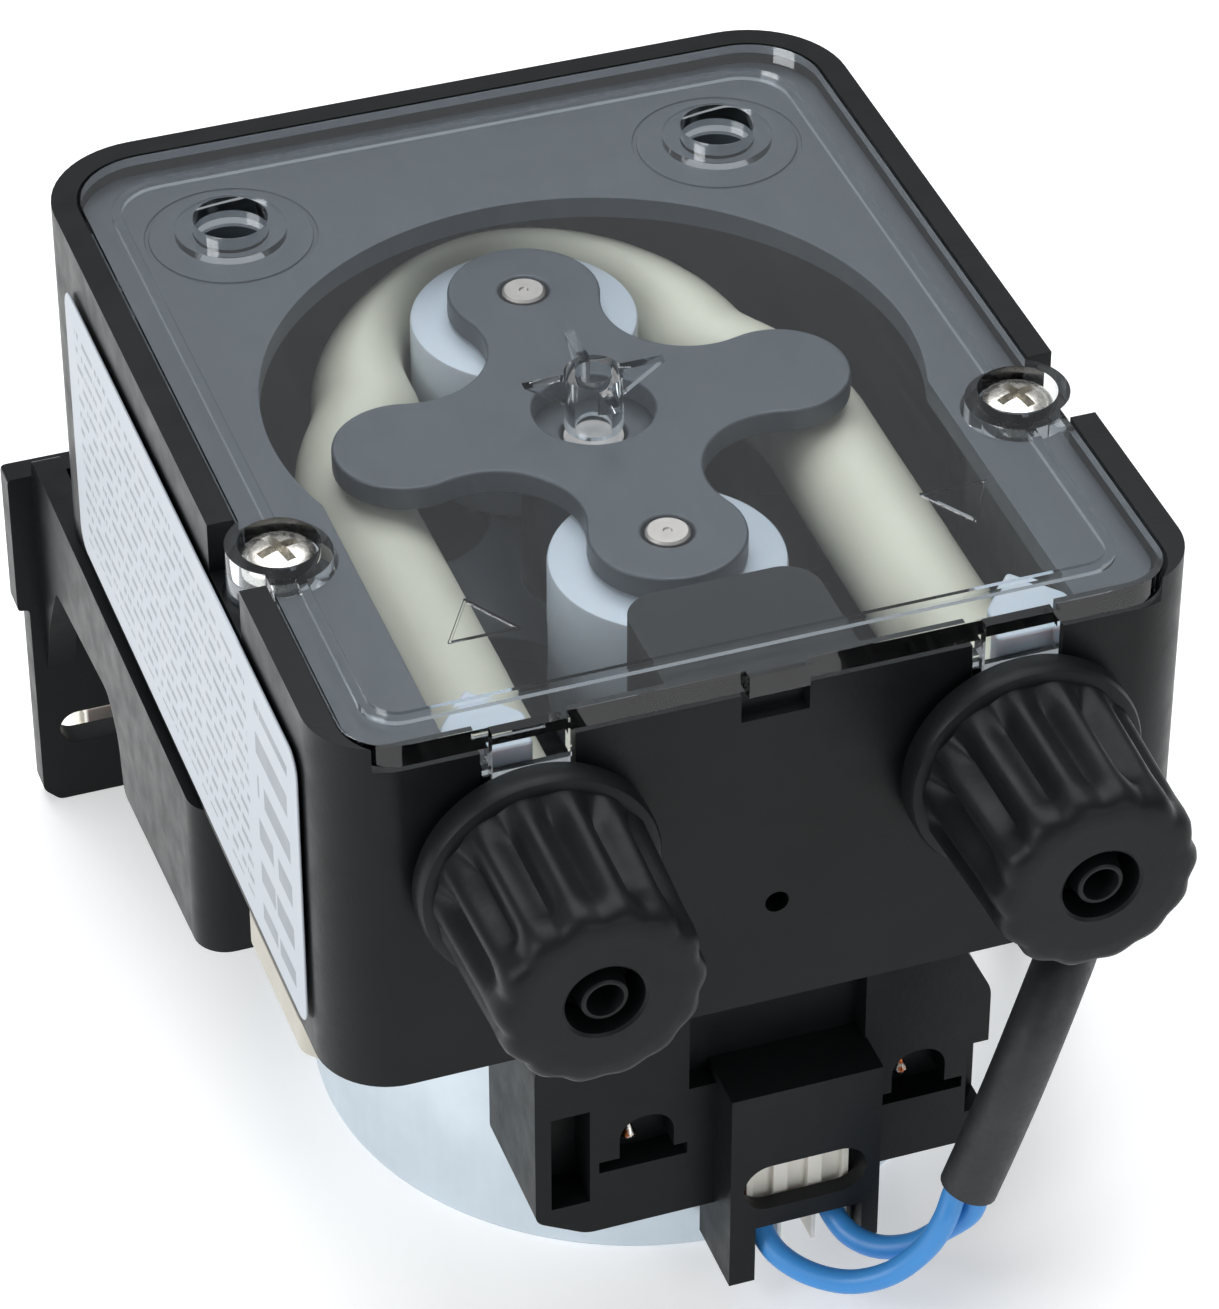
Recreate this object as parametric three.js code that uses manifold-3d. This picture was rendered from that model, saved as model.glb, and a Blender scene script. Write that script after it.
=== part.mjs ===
// A small dosing pump: a peristaltic pump head standing on its synchronous gear motor.
// Millimetres, +Z up. The origin is on the rotor axis, level with the underside of the motor.
// The hose nozzles point along -Y.
import * as THREE from 'three';
import { mergeVertices } from 'three/addons/utils/BufferGeometryUtils.js';
import Module from 'manifold-3d';

// ---------------------------------------------------------------- driving dimensions

const runGap = 0.3; // between pieces that touch or run against each other

// motor
const canRadius = 28.7;
const canHeight = 36.2;
const canWall = 0.9;
const canX = 3.5; // the output shaft is offset from the centre of the can
const shaftRadius = 2.5;

// plate between motor and pump head
const plateThickness = 3.2;
const plateFrontY = -34.6;
const plateBackY = 36;
const plateChamfer = 2.2;

// pump housing
const housingWidth = 72;
const housingFrontY = -42.4;
const housingBackY = 44.8;
const housingHeight = 34;
const housingWall = 2.2;
const frontCornerRadius = 6;
const backCornerRadius = 9;
const floorThickness = 2.5;
const undersideDepth = 6.2;
const coverThickness = 2;
const deckThickness = 2;
const deckOpeningRadius = 27.4;

// tube and rotor
const tubeOuter = 9.6;
const tubeWall = 1.6;
const squeezedTube = 2.8;
const nozzleSpacing = 40;
const tubeUndersideDrop = 22.3; // below the top of the housing
const rollerOrbit = 18;
const rollerRadius = 9.7;
const pinRadius = 1.85;
const rollerLobeRadius = 6.5;
const guideLobeOrbit = 16.3;
const guideLobeRadius = 6;
const armFillet = 7.2;
const rotorPlateThickness = 2.2;
const hubRadius = rollerOrbit - rollerRadius - 2.3;
const hubRecessRadius = 5.1;

// hose nuts and nozzles
const nutLength = 17.2;
const nutFlangeRadius = 9.8;
const nutTipRadius = 8.7;
const nutRibs = 14;
const hoseHoleRadius = 3.15;
const nozzleThreadRadius = 4.3;
const barbRadius = 2.2;
const nozzleBore = 1.45;

// screws
const mountingHoleX = 22;
const mountingHoleY = housingBackY - 14.3;
const mountingHoleRadius = 3.2;
const coverScrewX = nozzleSpacing / 2 + tubeOuter / 2 + 6.5;
const coverScrewY = -14.9;
const screwHeadRadius = 3;
const screwShankRadius = 1.3;

// bracket behind and beneath the pump head
const bracketThickness = 2.6;
const bracketFrontY = -2;
const bracketBackY = housingBackY + 6.4;
const bracketWidth = housingWidth + 1.8;
const bracketPlateWidth = bracketWidth + 2.6;
const bracketPlateTopZ = 38;

// terminal block on the front of the motor
const blockFrontY = -33;
const blockWidth = 40.4;
const blockBottomZ = 9.6;
const blockTopZ = 31.5;
const socketProud = 3.8;
const socketWidth = 13.4;
const socketCentreX = 5.9;
const socketTopZ = 24.2;
const socketBottomZ = 3.2;

// supply lead
const wireRadius = 1.05;
const sleeveRadius = 2.5;
const coilRadius = 26;
const coilTurns = 2.5;
const coilX = 22;
const coilY = 83;

// ---------------------------------------------------------------- levels worked out from them

const canTopZ = canHeight;
const plateBottomZ = canTopZ + runGap;
const plateTopZ = plateBottomZ + plateThickness;
const housingBottomZ = plateTopZ + runGap;
const housingTopZ = housingBottomZ + housingHeight;
const undersideZ = housingBottomZ + undersideDepth;
const floorZ = undersideZ + floorThickness;
const nozzleZ = housingTopZ - tubeUndersideDrop + tubeOuter / 2;
const coverBottomZ = housingTopZ - coverThickness;
const ledgeZ = coverBottomZ - runGap;
const deckTopZ = ledgeZ - 0.7;
const deckBottomZ = deckTopZ - deckThickness;
const deckLedgeZ = deckBottomZ - runGap;
const halfWidth = housingWidth / 2;
const innerHalf = halfWidth - housingWall;
const nozzleX = nozzleSpacing / 2;
const raceRadius = rollerOrbit + rollerRadius + squeezedTube + 2 * runGap;
const rotorTopZ = housingTopZ - 5.5;
const upperPlateZ = rotorTopZ - rotorPlateThickness;
const lowerPlateZ = floorZ + 0.5;
const lowerPlateTopZ = lowerPlateZ + rotorPlateThickness;
const rollerBottomZ = lowerPlateTopZ + runGap;
const rollerTopZ = upperPlateZ - runGap;
const blockLeftX = canX - blockWidth / 2;
const blockRightX = canX + blockWidth / 2;
const socketFrontY = blockFrontY - socketProud;
const sides = [{ name: 'left', sign: -1 }, { name: 'right', sign: 1 }];

// ---------------------------------------------------------------- solids

const wasm = await Module();
wasm.setup();

function toSolid(geometry) {
  const bare = geometry.clone();
  bare.deleteAttribute('normal');
  bare.deleteAttribute('uv');
  const merged = mergeVertices(bare, 1e-4);
  const vertProperties = new Float32Array(merged.attributes.position.array);
  const triVerts = new Uint32Array(merged.index.array);
  const solid = new wasm.Manifold(new wasm.Mesh({ numProp: 3, vertProperties, triVerts }));
  if (solid.volume() > 0) return solid;
  // faces wound the wrong way round are turned outward
  for (let i = 0; i < triVerts.length; i += 3) {
    [triVerts[i], triVerts[i + 1]] = [triVerts[i + 1], triVerts[i]];
  }
  return new wasm.Manifold(new wasm.Mesh({ numProp: 3, vertProperties, triVerts }));
}

function toGeometry(solid) {
  const mesh = solid.getMesh();
  const geometry = new THREE.BufferGeometry();
  geometry.setAttribute('position', new THREE.BufferAttribute(new Float32Array(mesh.vertProperties), 3));
  geometry.setIndex(new THREE.BufferAttribute(new Uint32Array(mesh.triVerts), 1));
  geometry.computeVertexNormals();
  return geometry;
}

function box(x0, x1, y0, y1, z0, z1) {
  const geometry = new THREE.BoxGeometry(x1 - x0, y1 - y0, z1 - z0);
  geometry.translate((x0 + x1) / 2, (y0 + y1) / 2, (z0 + z1) / 2);
  return toSolid(geometry);
}

function postZ(x, y, radius, z0, z1, segments = 20) {
  const geometry = new THREE.CylinderGeometry(radius, radius, z1 - z0, segments);
  geometry.rotateX(Math.PI / 2);
  geometry.translate(x, y, (z0 + z1) / 2);
  return toSolid(geometry);
}

function postY(x, z, radius, y0, y1, segments = 20) {
  const geometry = new THREE.CylinderGeometry(radius, radius, y1 - y0, segments);
  geometry.translate(x, (y0 + y1) / 2, z);
  return toSolid(geometry);
}

// a flat outline in X and Y, raised from z0 to z1
function prismZ(shape, z0, z1, curveSegments = 5) {
  const geometry = new THREE.ExtrudeGeometry(shape, { depth: z1 - z0, bevelEnabled: false, curveSegments });
  geometry.translate(0, 0, z0);
  return toSolid(geometry);
}

// an outline in Y and Z, thickened from x0 to x1
function prismX(shape, x0, x1, curveSegments = 5) {
  const geometry = new THREE.ExtrudeGeometry(shape, { depth: x1 - x0, bevelEnabled: false, curveSegments });
  geometry.rotateX(Math.PI / 2);
  geometry.rotateZ(Math.PI / 2);
  geometry.translate(x0, 0, 0);
  return toSolid(geometry);
}

// an outline in X and Z, thickened from y0 to y1
function prismY(shape, y0, y1, curveSegments = 5) {
  const geometry = new THREE.ExtrudeGeometry(shape, { depth: y1 - y0, bevelEnabled: false, curveSegments });
  geometry.rotateX(Math.PI / 2);
  geometry.translate(0, y1, 0);
  return toSolid(geometry);
}

// a profile of [radius, height] points, closed on itself or on the axis, turned about Z
function turnedZ(profile, x, y, segments = 36) {
  const points = profile.map(([radius, height]) => new THREE.Vector2(radius, height));
  const geometry = new THREE.LatheGeometry(points, segments);
  geometry.rotateX(Math.PI / 2);
  geometry.translate(x, y, 0);
  return toSolid(geometry);
}

// the same about an axis along -Y through (x, z); the second number is the distance in front of y
function turnedY(profile, x, y, z, segments = 20) {
  const points = profile.map(([radius, reach]) => new THREE.Vector2(radius, reach));
  const geometry = new THREE.LatheGeometry(points, segments);
  geometry.rotateX(Math.PI);
  geometry.translate(x, y, z);
  return toSolid(geometry);
}

// corners are given from the left front corner round by the right front one
function roundedOutline(x0, x1, y0, y1, [leftFront, rightFront, rightBack, leftBack]) {
  const shape = new THREE.Shape();
  shape.moveTo(x0 + leftFront, y0);
  shape.lineTo(x1 - rightFront, y0);
  shape.absarc(x1 - rightFront, y0 + rightFront, rightFront, -Math.PI / 2, 0);
  shape.lineTo(x1, y1 - rightBack);
  shape.absarc(x1 - rightBack, y1 - rightBack, rightBack, 0, Math.PI / 2);
  shape.lineTo(x0 + leftBack, y1);
  shape.absarc(x0 + leftBack, y1 - leftBack, leftBack, Math.PI / 2, Math.PI);
  shape.lineTo(x0, y0 + leftFront);
  shape.absarc(x0 + leftFront, y0 + leftFront, leftFront, Math.PI, Math.PI * 1.5);
  return shape;
}

function polygon(points) {
  return new THREE.Shape(points.map(([a, b]) => new THREE.Vector2(a, b)));
}

// rings of equally many points, each joined to the next and the last to the first
function ringBody(rings) {
  const count = rings[0].length;
  const positions = new Float32Array(rings.flat().flatMap((point) => [point.x, point.y, point.z]));
  const index = [];
  rings.forEach((ring, r) => {
    const next = (r + 1) % rings.length;
    for (let i = 0; i < count; i += 1) {
      const j = (i + 1) % count;
      index.push(r * count + i, r * count + j, next * count + j);
      index.push(r * count + i, next * count + j, next * count + i);
    }
  });
  const geometry = new THREE.BufferGeometry();
  geometry.setAttribute('position', new THREE.BufferAttribute(positions, 3));
  geometry.setIndex(index);
  return toSolid(geometry);
}

// a round cord through hand-placed points
function cordAlong(points, radius, steps, sidesOfCord) {
  const curve = new THREE.CatmullRomCurve3(points.map((point) => new THREE.Vector3(...point)));
  const section = new THREE.Shape();
  for (let i = 0; i < sidesOfCord; i += 1) {
    const angle = (i / sidesOfCord) * 2 * Math.PI;
    const x = radius * Math.cos(angle);
    const y = radius * Math.sin(angle);
    if (i === 0) section.moveTo(x, y);
    else section.lineTo(x, y);
  }
  return toSolid(new THREE.ExtrudeGeometry(section, { extrudePath: curve, steps }));
}

// ---------------------------------------------------------------- materials

const finish = (color, roughness, metalness = 0) => ({ color, roughness, metalness });
const finishes = {
  blackPlastic: finish(0x2b2d30, 0.45),
  greyPlastic: finish(0x50565c, 0.5),
  clearPlastic: finish(0xc9d4dc, 0.08),
  rotorPlastic: finish(0x4c535a, 0.45),
  whitePlastic: finish(0xc0c7ce, 0.35),
  ivoryRubber: finish(0xcfccbd, 0.6),
  steel: finish(0xa59f9f, 0.3, 1),
  zinc: finish(0xc9d2d9, 0.35, 1),
  beigePlate: finish(0xb9b5a8, 0.5),
  copper: finish(0xb4633c, 0.4, 1),
  magnet: finish(0x3a3634, 0.6),
  plugPlastic: finish(0xe6e4dc, 0.45),
  blueWire: finish(0x4a94d0, 0.45),
  blackSleeve: finish(0x2c2d2f, 0.7),
  label: finish(0xdfe5ea, 0.5),
};

const pump = new THREE.Group();

function addPart(name, solid, look) {
  const mesh = new THREE.Mesh(toGeometry(solid), new THREE.MeshStandardMaterial(finishes[look]));
  mesh.name = name;
  pump.add(mesh);
}

// ---------------------------------------------------------------- motor

function motorCan() {
  return turnedZ([
    [0, 0],
    [canRadius - 0.7, 0],
    [canRadius, 0.7],
    [canRadius, canTopZ],
    [canRadius - canWall, canTopZ],
    [canRadius - canWall, canWall],
    [0, canWall],
  ], canX, 0, 40);
}

const statorTopZ = 17.5;
const magnetRadius = 10;

function statorCoil() {
  const bottom = canWall + runGap;
  const outer = canRadius - canWall - runGap;
  const inner = magnetRadius + 1;
  return turnedZ([[inner, bottom], [outer, bottom], [outer, statorTopZ], [inner, statorTopZ], [inner, bottom]],
    canX, 0, 40);
}

function magnetRotor() {
  const bottom = canWall + 1;
  return postZ(canX, 0, magnetRadius, bottom, statorTopZ - 1, 32);
}

const gearCaseBottomZ = statorTopZ + runGap;
const gearBossRadius = 6;
const gearBossTopZ = undersideZ - runGap;
const shaftBottomZ = canTopZ - 8;

function gearCase() {
  const drum = postZ(canX, 0, canRadius - canWall - runGap, gearCaseBottomZ, canTopZ, 40);
  const boss = postZ(0, 0, gearBossRadius, canTopZ - 1, gearBossTopZ);
  const bore = postZ(0, 0, shaftRadius + runGap, shaftBottomZ - runGap, gearBossTopZ + 1, 24);
  return drum.add(boss).subtract(bore);
}

function driveShaft() {
  return postZ(0, 0, shaftRadius, shaftBottomZ, upperPlateZ - 2 * runGap, 24);
}

// ---------------------------------------------------------------- mounting plate and its screws

const plateWaistHalf = halfWidth - 4;
const plateWaistY = -17.5;
const plateScrews = [
  { name: 'plate_screw_front_left', x: -30.5, y: -28, headTopZ: plateBottomZ - runGap },
  { name: 'plate_screw_front_right', x: 30.5, y: -28, headTopZ: plateBottomZ - runGap },
  { name: 'plate_screw_rear_left', x: -29, y: 22, headTopZ: plateBottomZ - 2 * runGap - bracketThickness },
  { name: 'plate_screw_rear_right', x: 29, y: 22, headTopZ: plateBottomZ - 2 * runGap - bracketThickness },
];
const plateScrewHead = 2.6;
const plateScrewHeadHeight = 1.8;
const plateScrewTopZ = undersideZ - 0.8;

function clearanceHole(x, y, radius) {
  return postZ(x, y, radius + runGap, 0, housingTopZ + 5, 20);
}

function mountingPlate() {
  const wide = halfWidth;
  const outline = polygon([
    [-wide + plateChamfer, plateFrontY],
    [wide - plateChamfer, plateFrontY],
    [wide, plateFrontY + plateChamfer],
    [wide, plateWaistY],
    [plateWaistHalf, plateWaistY + 4],
    [plateWaistHalf, plateBackY],
    [-plateWaistHalf, plateBackY],
    [-plateWaistHalf, plateWaistY + 4],
    [-wide, plateWaistY],
    [-wide, plateFrontY + plateChamfer],
  ]);
  let plate = prismZ(outline, plateBottomZ, plateTopZ);
  plate = plate.subtract(clearanceHole(0, 0, gearBossRadius));
  for (const screw of plateScrews) plate = plate.subtract(clearanceHole(screw.x, screw.y, screwShankRadius));
  for (const side of sides) {
    plate = plate.subtract(clearanceHole(side.sign * mountingHoleX, mountingHoleY, mountingHoleRadius));
  }
  return plate;
}

function plateScrew({ x, y, headTopZ }) {
  const bottom = headTopZ - plateScrewHeadHeight;
  return turnedZ([
    [0, bottom],
    [plateScrewHead - 0.5, bottom],
    [plateScrewHead, bottom + 0.5],
    [plateScrewHead, headTopZ],
    [screwShankRadius, headTopZ],
    [screwShankRadius, plateScrewTopZ],
    [0, plateScrewTopZ],
  ], x, y, 18);
}

// ---------------------------------------------------------------- bracket

const bracketFlangeTopZ = plateBottomZ - runGap;
const bracketFlangeZ = bracketFlangeTopZ - bracketThickness;
const webTopZ = housingBottomZ - runGap;
const webBottomZ = 24.2;
const webStepY = 21.5;
const webNarrowZ = 31;
const slotLength = 10;
const slotHeight = 3.6;
const slotZ = 8.2;

function bracketWeb(sign) {
  const inner = bracketBackY - bracketThickness;
  const profile = polygon([
    [bracketFrontY, webBottomZ],
    [webStepY - 1, webBottomZ - 1.6],
    [webStepY, webNarrowZ - 3],
    [webStepY + 3, webNarrowZ],
    [inner - 6, webNarrowZ - 2],
    [inner - 2, 22],
    [inner + 0.5, 14],
    [inner + 0.5, webTopZ],
    [bracketFrontY, webTopZ],
  ]);
  const outer = sign * bracketWidth / 2;
  const innerX = outer - sign * bracketThickness;
  return prismX(profile, Math.min(outer, innerX), Math.max(outer, innerX));
}

function bracketReturn(sign) {
  const outer = sign * bracketWidth / 2;
  const reach = outer - sign * 5;
  const shape = roundedOutline(Math.min(outer, reach), Math.max(outer, reach), bracketFrontY - 3,
    bracketFrontY + 1.5, sign < 0 ? [2.9, 0.2, 0.2, 0.2] : [0.2, 2.9, 0.2, 0.2]);
  return prismZ(shape, webBottomZ, webTopZ);
}

function bracketBackPlate() {
  const half = bracketPlateWidth / 2;
  const step = 1.1;
  const stepZ = 23;
  const outline = polygon([
    [-half + 1.5, 0],
    [half - 1.5, 0],
    [half, 1.5],
    [half, stepZ],
    [half + step, stepZ],
    [half + step, bracketPlateTopZ],
    [-half - step, bracketPlateTopZ],
    [-half - step, stepZ],
    [-half, stepZ],
    [-half, 1.5],
  ]);
  return prismY(outline, bracketBackY - bracketThickness, bracketBackY);
}

function bracketSlot(sign) {
  const outer = bracketPlateWidth / 2 - 2;
  const end = slotHeight / 2;
  const x0 = sign < 0 ? -outer : outer - slotLength;
  const outline = roundedOutline(x0, x0 + slotLength, slotZ - end, slotZ + end, [end, end, end, end]);
  return prismY(outline, bracketBackY - bracketThickness - 1, bracketBackY + 1, 6);
}

function mountingBracket() {
  let bracket = box(-bracketWidth / 2 + 1, bracketWidth / 2 - 1, bracketFrontY, bracketBackY - 1,
    bracketFlangeZ, bracketFlangeTopZ);
  bracket = bracket.add(bracketBackPlate());
  for (const side of sides) {
    bracket = bracket.add(bracketWeb(side.sign)).add(bracketReturn(side.sign));
  }
  bracket = bracket.subtract(postZ(canX, 0, canRadius + runGap, 0, plateBottomZ, 40));
  bracket = bracket.subtract(box(-plateWaistHalf - 1, plateWaistHalf + 1, bracketFrontY - 4, plateBackY + 1,
    plateBottomZ - runGap, housingBottomZ));
  for (const screw of plateScrews) {
    bracket = bracket.subtract(clearanceHole(screw.x, screw.y, screwShankRadius));
  }
  for (const side of sides) {
    bracket = bracket.subtract(bracketSlot(side.sign));
    bracket = bracket.subtract(clearanceHole(side.sign * mountingHoleX, mountingHoleY, mountingHoleRadius));
  }
  return bracket;
}

// ---------------------------------------------------------------- housing

const coverCorner = 4;
const chamberHalf = nozzleX + tubeOuter / 2 + 1.6;
const deckOpeningHalf = chamberHalf - 0.5;
const nozzleSlotHalf = 3.8;
const clipHalf = 3.1;
const clipDepth = 4.7;
const middleTabHalf = 2.5;
const islandHalf = 8;
const islandBackY = -(rollerOrbit + rollerRadius + 2.5 * runGap);
const screwWellRadius = 4.3;
const screwWellBottomZ = coverBottomZ - 2.4;

// the edge of the cover, or with an inset of 0 the recess that it lies in, which is open in front
function coverOutline(inset, z0, z1) {
  const back = backCornerRadius - housingWall - inset;
  const front = inset === 0 ? coverCorner + 1.15 : coverCorner;
  const frontY = inset === 0 ? housingFrontY - 1 : housingFrontY + 0.15;
  return prismZ(roundedOutline(-innerHalf + inset, innerHalf - inset, frontY,
    housingBackY - housingWall - inset, [front, front, back, back]), z0, z1);
}

function innerOutline(inset, z0, z1) {
  const back = backCornerRadius - housingWall - inset;
  const front = frontCornerRadius - housingWall - inset;
  return prismZ(roundedOutline(-innerHalf + inset, innerHalf - inset, housingFrontY + housingWall + inset,
    housingBackY - housingWall - inset, [front, front, back, back]), z0, z1);
}

function pumpHousing() {
  const shell = prismZ(roundedOutline(-halfWidth, halfWidth, housingFrontY, housingBackY,
    [frontCornerRadius, frontCornerRadius, backCornerRadius, backCornerRadius]), housingBottomZ, housingTopZ);
  const raceway = postZ(0, 0, raceRadius, floorZ, deckLedgeZ + 1, 48);
  const legs = box(-chamberHalf, chamberHalf, housingFrontY + housingWall, 0, floorZ, deckLedgeZ + 1);
  const island = prismZ(roundedOutline(-islandHalf, islandHalf, housingFrontY + 1, islandBackY,
    [0.5, 0.5, 3, 3]), floorZ - 1, deckTopZ);
  let housing = shell.subtract(coverOutline(0, ledgeZ, housingTopZ + 1));
  housing = housing.subtract(innerOutline(0, deckLedgeZ, housingTopZ + 1));
  housing = housing.subtract(raceway.add(legs));
  housing = housing.add(island);

  // pockets behind the raceway keep the walls even
  let pockets = innerOutline(0, floorZ, deckLedgeZ + 1);
  pockets = pockets.subtract(box(-halfWidth, halfWidth, housingFrontY, 10, floorZ - 1, housingTopZ));
  pockets = pockets.subtract(postZ(0, 0, raceRadius + 2, floorZ - 1, housingTopZ, 48));
  let hollow = innerOutline(0, housingBottomZ - 1, undersideZ);
  for (const side of sides) {
    const x = side.sign * mountingHoleX;
    const boss = postZ(x, mountingHoleY, mountingHoleRadius + 2, housingBottomZ - 2, housingTopZ);
    pockets = pockets.subtract(boss);
    hollow = hollow.subtract(boss);
  }
  for (const screw of plateScrews) {
    hollow = hollow.subtract(postZ(screw.x, screw.y, 3.6, housingBottomZ - 2, undersideZ + 1));
  }
  housing = housing.subtract(pockets).subtract(hollow);

  for (const screw of plateScrews) {
    housing = housing.subtract(postZ(screw.x, screw.y, screwShankRadius + runGap, housingBottomZ - 1,
      plateScrewTopZ + runGap, 20));
  }
  housing = housing.subtract(postZ(0, 0, gearBossRadius - 1.5, undersideZ - 1, floorZ + 1));
  for (const side of sides) {
    const x = side.sign * nozzleX;
    const screwX = side.sign * coverScrewX;
    housing = housing.subtract(postZ(side.sign * mountingHoleX, mountingHoleY, mountingHoleRadius,
      housingBottomZ - 1, housingTopZ));
    housing = housing.subtract(box(x - nozzleSlotHalf, x + nozzleSlotHalf, housingFrontY - 1,
      housingFrontY + housingWall + 0.5, nozzleZ, housingTopZ + 1));
    housing = housing.subtract(postY(x, nozzleZ, nozzleThreadRadius + 2 * runGap, housingFrontY - 1,
      housingFrontY + housingWall + 0.5));
    housing = housing.subtract(postZ(screwX, coverScrewY, screwWellRadius + runGap,
      screwWellBottomZ - runGap, housingTopZ + 1));
    housing = housing.subtract(postZ(screwX, coverScrewY, screwShankRadius + runGap, 56, housingTopZ, 20));
    const rim = side.sign * (halfWidth - housingWall);
    const outside = side.sign * (halfWidth + 1);
    housing = housing.subtract(box(Math.min(rim, outside), Math.max(rim, outside), coverScrewY - 5,
      coverScrewY + 4, ledgeZ - 2.4, housingTopZ + 1));
  }
  // recess beneath the middle tab of the cover, and the drain
  housing = housing.subtract(box(-middleTabHalf - 0.3, middleTabHalf + 0.3, housingFrontY - 1,
    housingFrontY + 1.2, coverBottomZ - 2.9, housingTopZ));
  return housing.subtract(postY(0.5, floorZ + 1.5, 1, housingFrontY - 1, housingFrontY + housingWall + 1, 16));
}

function deckPlate() {
  let deck = innerOutline(runGap, deckBottomZ, deckTopZ);
  deck = deck.subtract(postZ(0, 0, deckOpeningRadius, deckBottomZ - 1, deckTopZ + 1, 40));
  deck = deck.subtract(box(-deckOpeningHalf, deckOpeningHalf, housingFrontY, 0, deckBottomZ - 1, deckTopZ + 1));
  for (const side of sides) {
    deck = deck.subtract(postZ(side.sign * coverScrewX, coverScrewY, screwWellRadius + runGap,
      deckBottomZ - 1, deckTopZ + 1));
    deck = deck.subtract(postZ(side.sign * mountingHoleX, mountingHoleY, mountingHoleRadius,
      deckBottomZ - 1, deckTopZ + 1));
  }
  return deck;
}

// ---------------------------------------------------------------- clear cover and its screws

const coverTopZ = housingTopZ;
const headSeatZ = coverTopZ - 2.5;
const centreBossRadius = 2.45;
const centreBossBottomZ = rotorTopZ - 1.7;
const finReach = 6.2;
const finThickness = 0.9;

function clearCover() {
  let cover = coverOutline(runGap, coverBottomZ, coverTopZ);
  for (const side of sides) {
    const screwX = side.sign * coverScrewX;
    const clipX = side.sign * nozzleX;
    cover = cover.add(postZ(screwX, coverScrewY, screwWellRadius, screwWellBottomZ, coverTopZ));
    cover = cover.add(postZ(side.sign * mountingHoleX, mountingHoleY, mountingHoleRadius + 1.6,
      deckTopZ + runGap, coverTopZ));
    cover = cover.add(box(clipX - clipHalf, clipX + clipHalf, housingFrontY - 0.8, housingFrontY + 1.3,
      coverTopZ - clipDepth, coverTopZ));
    cover = cover.add(box(clipX - clipHalf - 0.5, clipX + clipHalf + 0.5, housingFrontY + 0.3,
      housingFrontY + 1.3, coverTopZ - clipDepth, coverTopZ - clipDepth + 1.1));
  }
  cover = cover.add(box(-middleTabHalf, middleTabHalf, housingFrontY - 0.8, housingFrontY + 2,
    coverBottomZ, coverTopZ));
  // centre boss that steadies the rotor, with four gussets
  cover = cover.add(postZ(0, 0, centreBossRadius, centreBossBottomZ, coverBottomZ + 0.5, 24));
  for (let i = 0; i < 4; i += 1) {
    const fin = polygon([[0, coverBottomZ + 0.5], [0, coverBottomZ - 2.6], [centreBossRadius, coverBottomZ - 2.6],
      [finReach, coverBottomZ], [finReach, coverBottomZ + 0.5]]);
    const geometry = new THREE.ExtrudeGeometry(fin, { depth: finThickness, bevelEnabled: false });
    geometry.rotateX(Math.PI / 2);
    geometry.translate(0, finThickness / 2, 0);
    geometry.rotateZ((i * Math.PI) / 2);
    cover = cover.add(toSolid(geometry));
  }
  cover = cover.subtract(postZ(0, 0, centreBossRadius - 0.9, centreBossBottomZ - 1, coverBottomZ, 20));
  for (const side of sides) {
    const screwX = side.sign * coverScrewX;
    cover = cover.subtract(postZ(screwX, coverScrewY, screwHeadRadius + runGap, headSeatZ, coverTopZ + 1));
    cover = cover.subtract(clearanceHole(screwX, coverScrewY, screwShankRadius));
    cover = cover.subtract(postZ(side.sign * mountingHoleX, mountingHoleY, mountingHoleRadius,
      deckTopZ - 1, coverTopZ + 1));
  }
  return cover;
}

function coverScrew(x) {
  const seat = headSeatZ + runGap;
  const headTop = coverTopZ - 0.3;
  const screw = turnedZ([
    [0, 58],
    [screwShankRadius - 0.6, 58],
    [screwShankRadius, 59],
    [screwShankRadius, seat],
    [screwHeadRadius, seat],
    [screwHeadRadius, headTop - 0.8],
    [screwHeadRadius - 0.8, headTop - 0.15],
    [0, headTop],
  ], x, coverScrewY);
  const slot = 0.45;
  const along = box(x - 1.7, x + 1.7, coverScrewY - slot, coverScrewY + slot, headTop - 1.2, headTop + 1);
  const across = box(x - slot, x + slot, coverScrewY - 1.7, coverScrewY + 1.7, headTop - 1.2, headTop + 1);
  return screw.subtract(along.add(across));
}

// ---------------------------------------------------------------- rotor

const lobes = [
  { angle: 0, orbit: guideLobeOrbit, radius: guideLobeRadius },
  { angle: Math.PI / 2, orbit: rollerOrbit, radius: rollerLobeRadius },
  { angle: Math.PI, orbit: guideLobeOrbit, radius: guideLobeRadius },
  { angle: -Math.PI / 2, orbit: rollerOrbit, radius: rollerLobeRadius },
];

function lobeCentre(lobe) {
  return new THREE.Vector2(Math.cos(lobe.angle), Math.sin(lobe.angle)).multiplyScalar(lobe.orbit);
}

// the centre of the hollow that touches two neighbouring lobes, on the outer side
function hollowCentre(a, b) {
  const first = lobeCentre(a);
  const second = lobeCentre(b);
  const line = second.clone().sub(first);
  const length = line.length();
  const reachA = a.radius + armFillet;
  const reachB = b.radius + armFillet;
  const along = (length * length + reachA * reachA - reachB * reachB) / (2 * length);
  const height = Math.sqrt(Math.max(0, reachA * reachA - along * along));
  line.normalize();
  const outward = new THREE.Vector2(line.y, -line.x);
  return first.addScaledVector(line, along).addScaledVector(outward, height);
}

function rotorOutline() {
  const hollows = lobes.map((lobe, i) => hollowCentre(lobe, lobes[(i + 1) % lobes.length]));
  const shape = new THREE.Shape();
  lobes.forEach((lobe, i) => {
    const centre = lobeCentre(lobe);
    const before = hollows[(i + lobes.length - 1) % lobes.length].clone().sub(centre);
    const after = hollows[i].clone().sub(centre);
    const next = lobeCentre(lobes[(i + 1) % lobes.length]).sub(hollows[i]);
    const back = centre.clone().sub(hollows[i]);
    shape.absarc(centre.x, centre.y, lobe.radius, before.angle(), after.angle(), false);
    shape.absarc(hollows[i].x, hollows[i].y, armFillet, back.angle(), next.angle(), true);
  });
  return shape;
}

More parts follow.
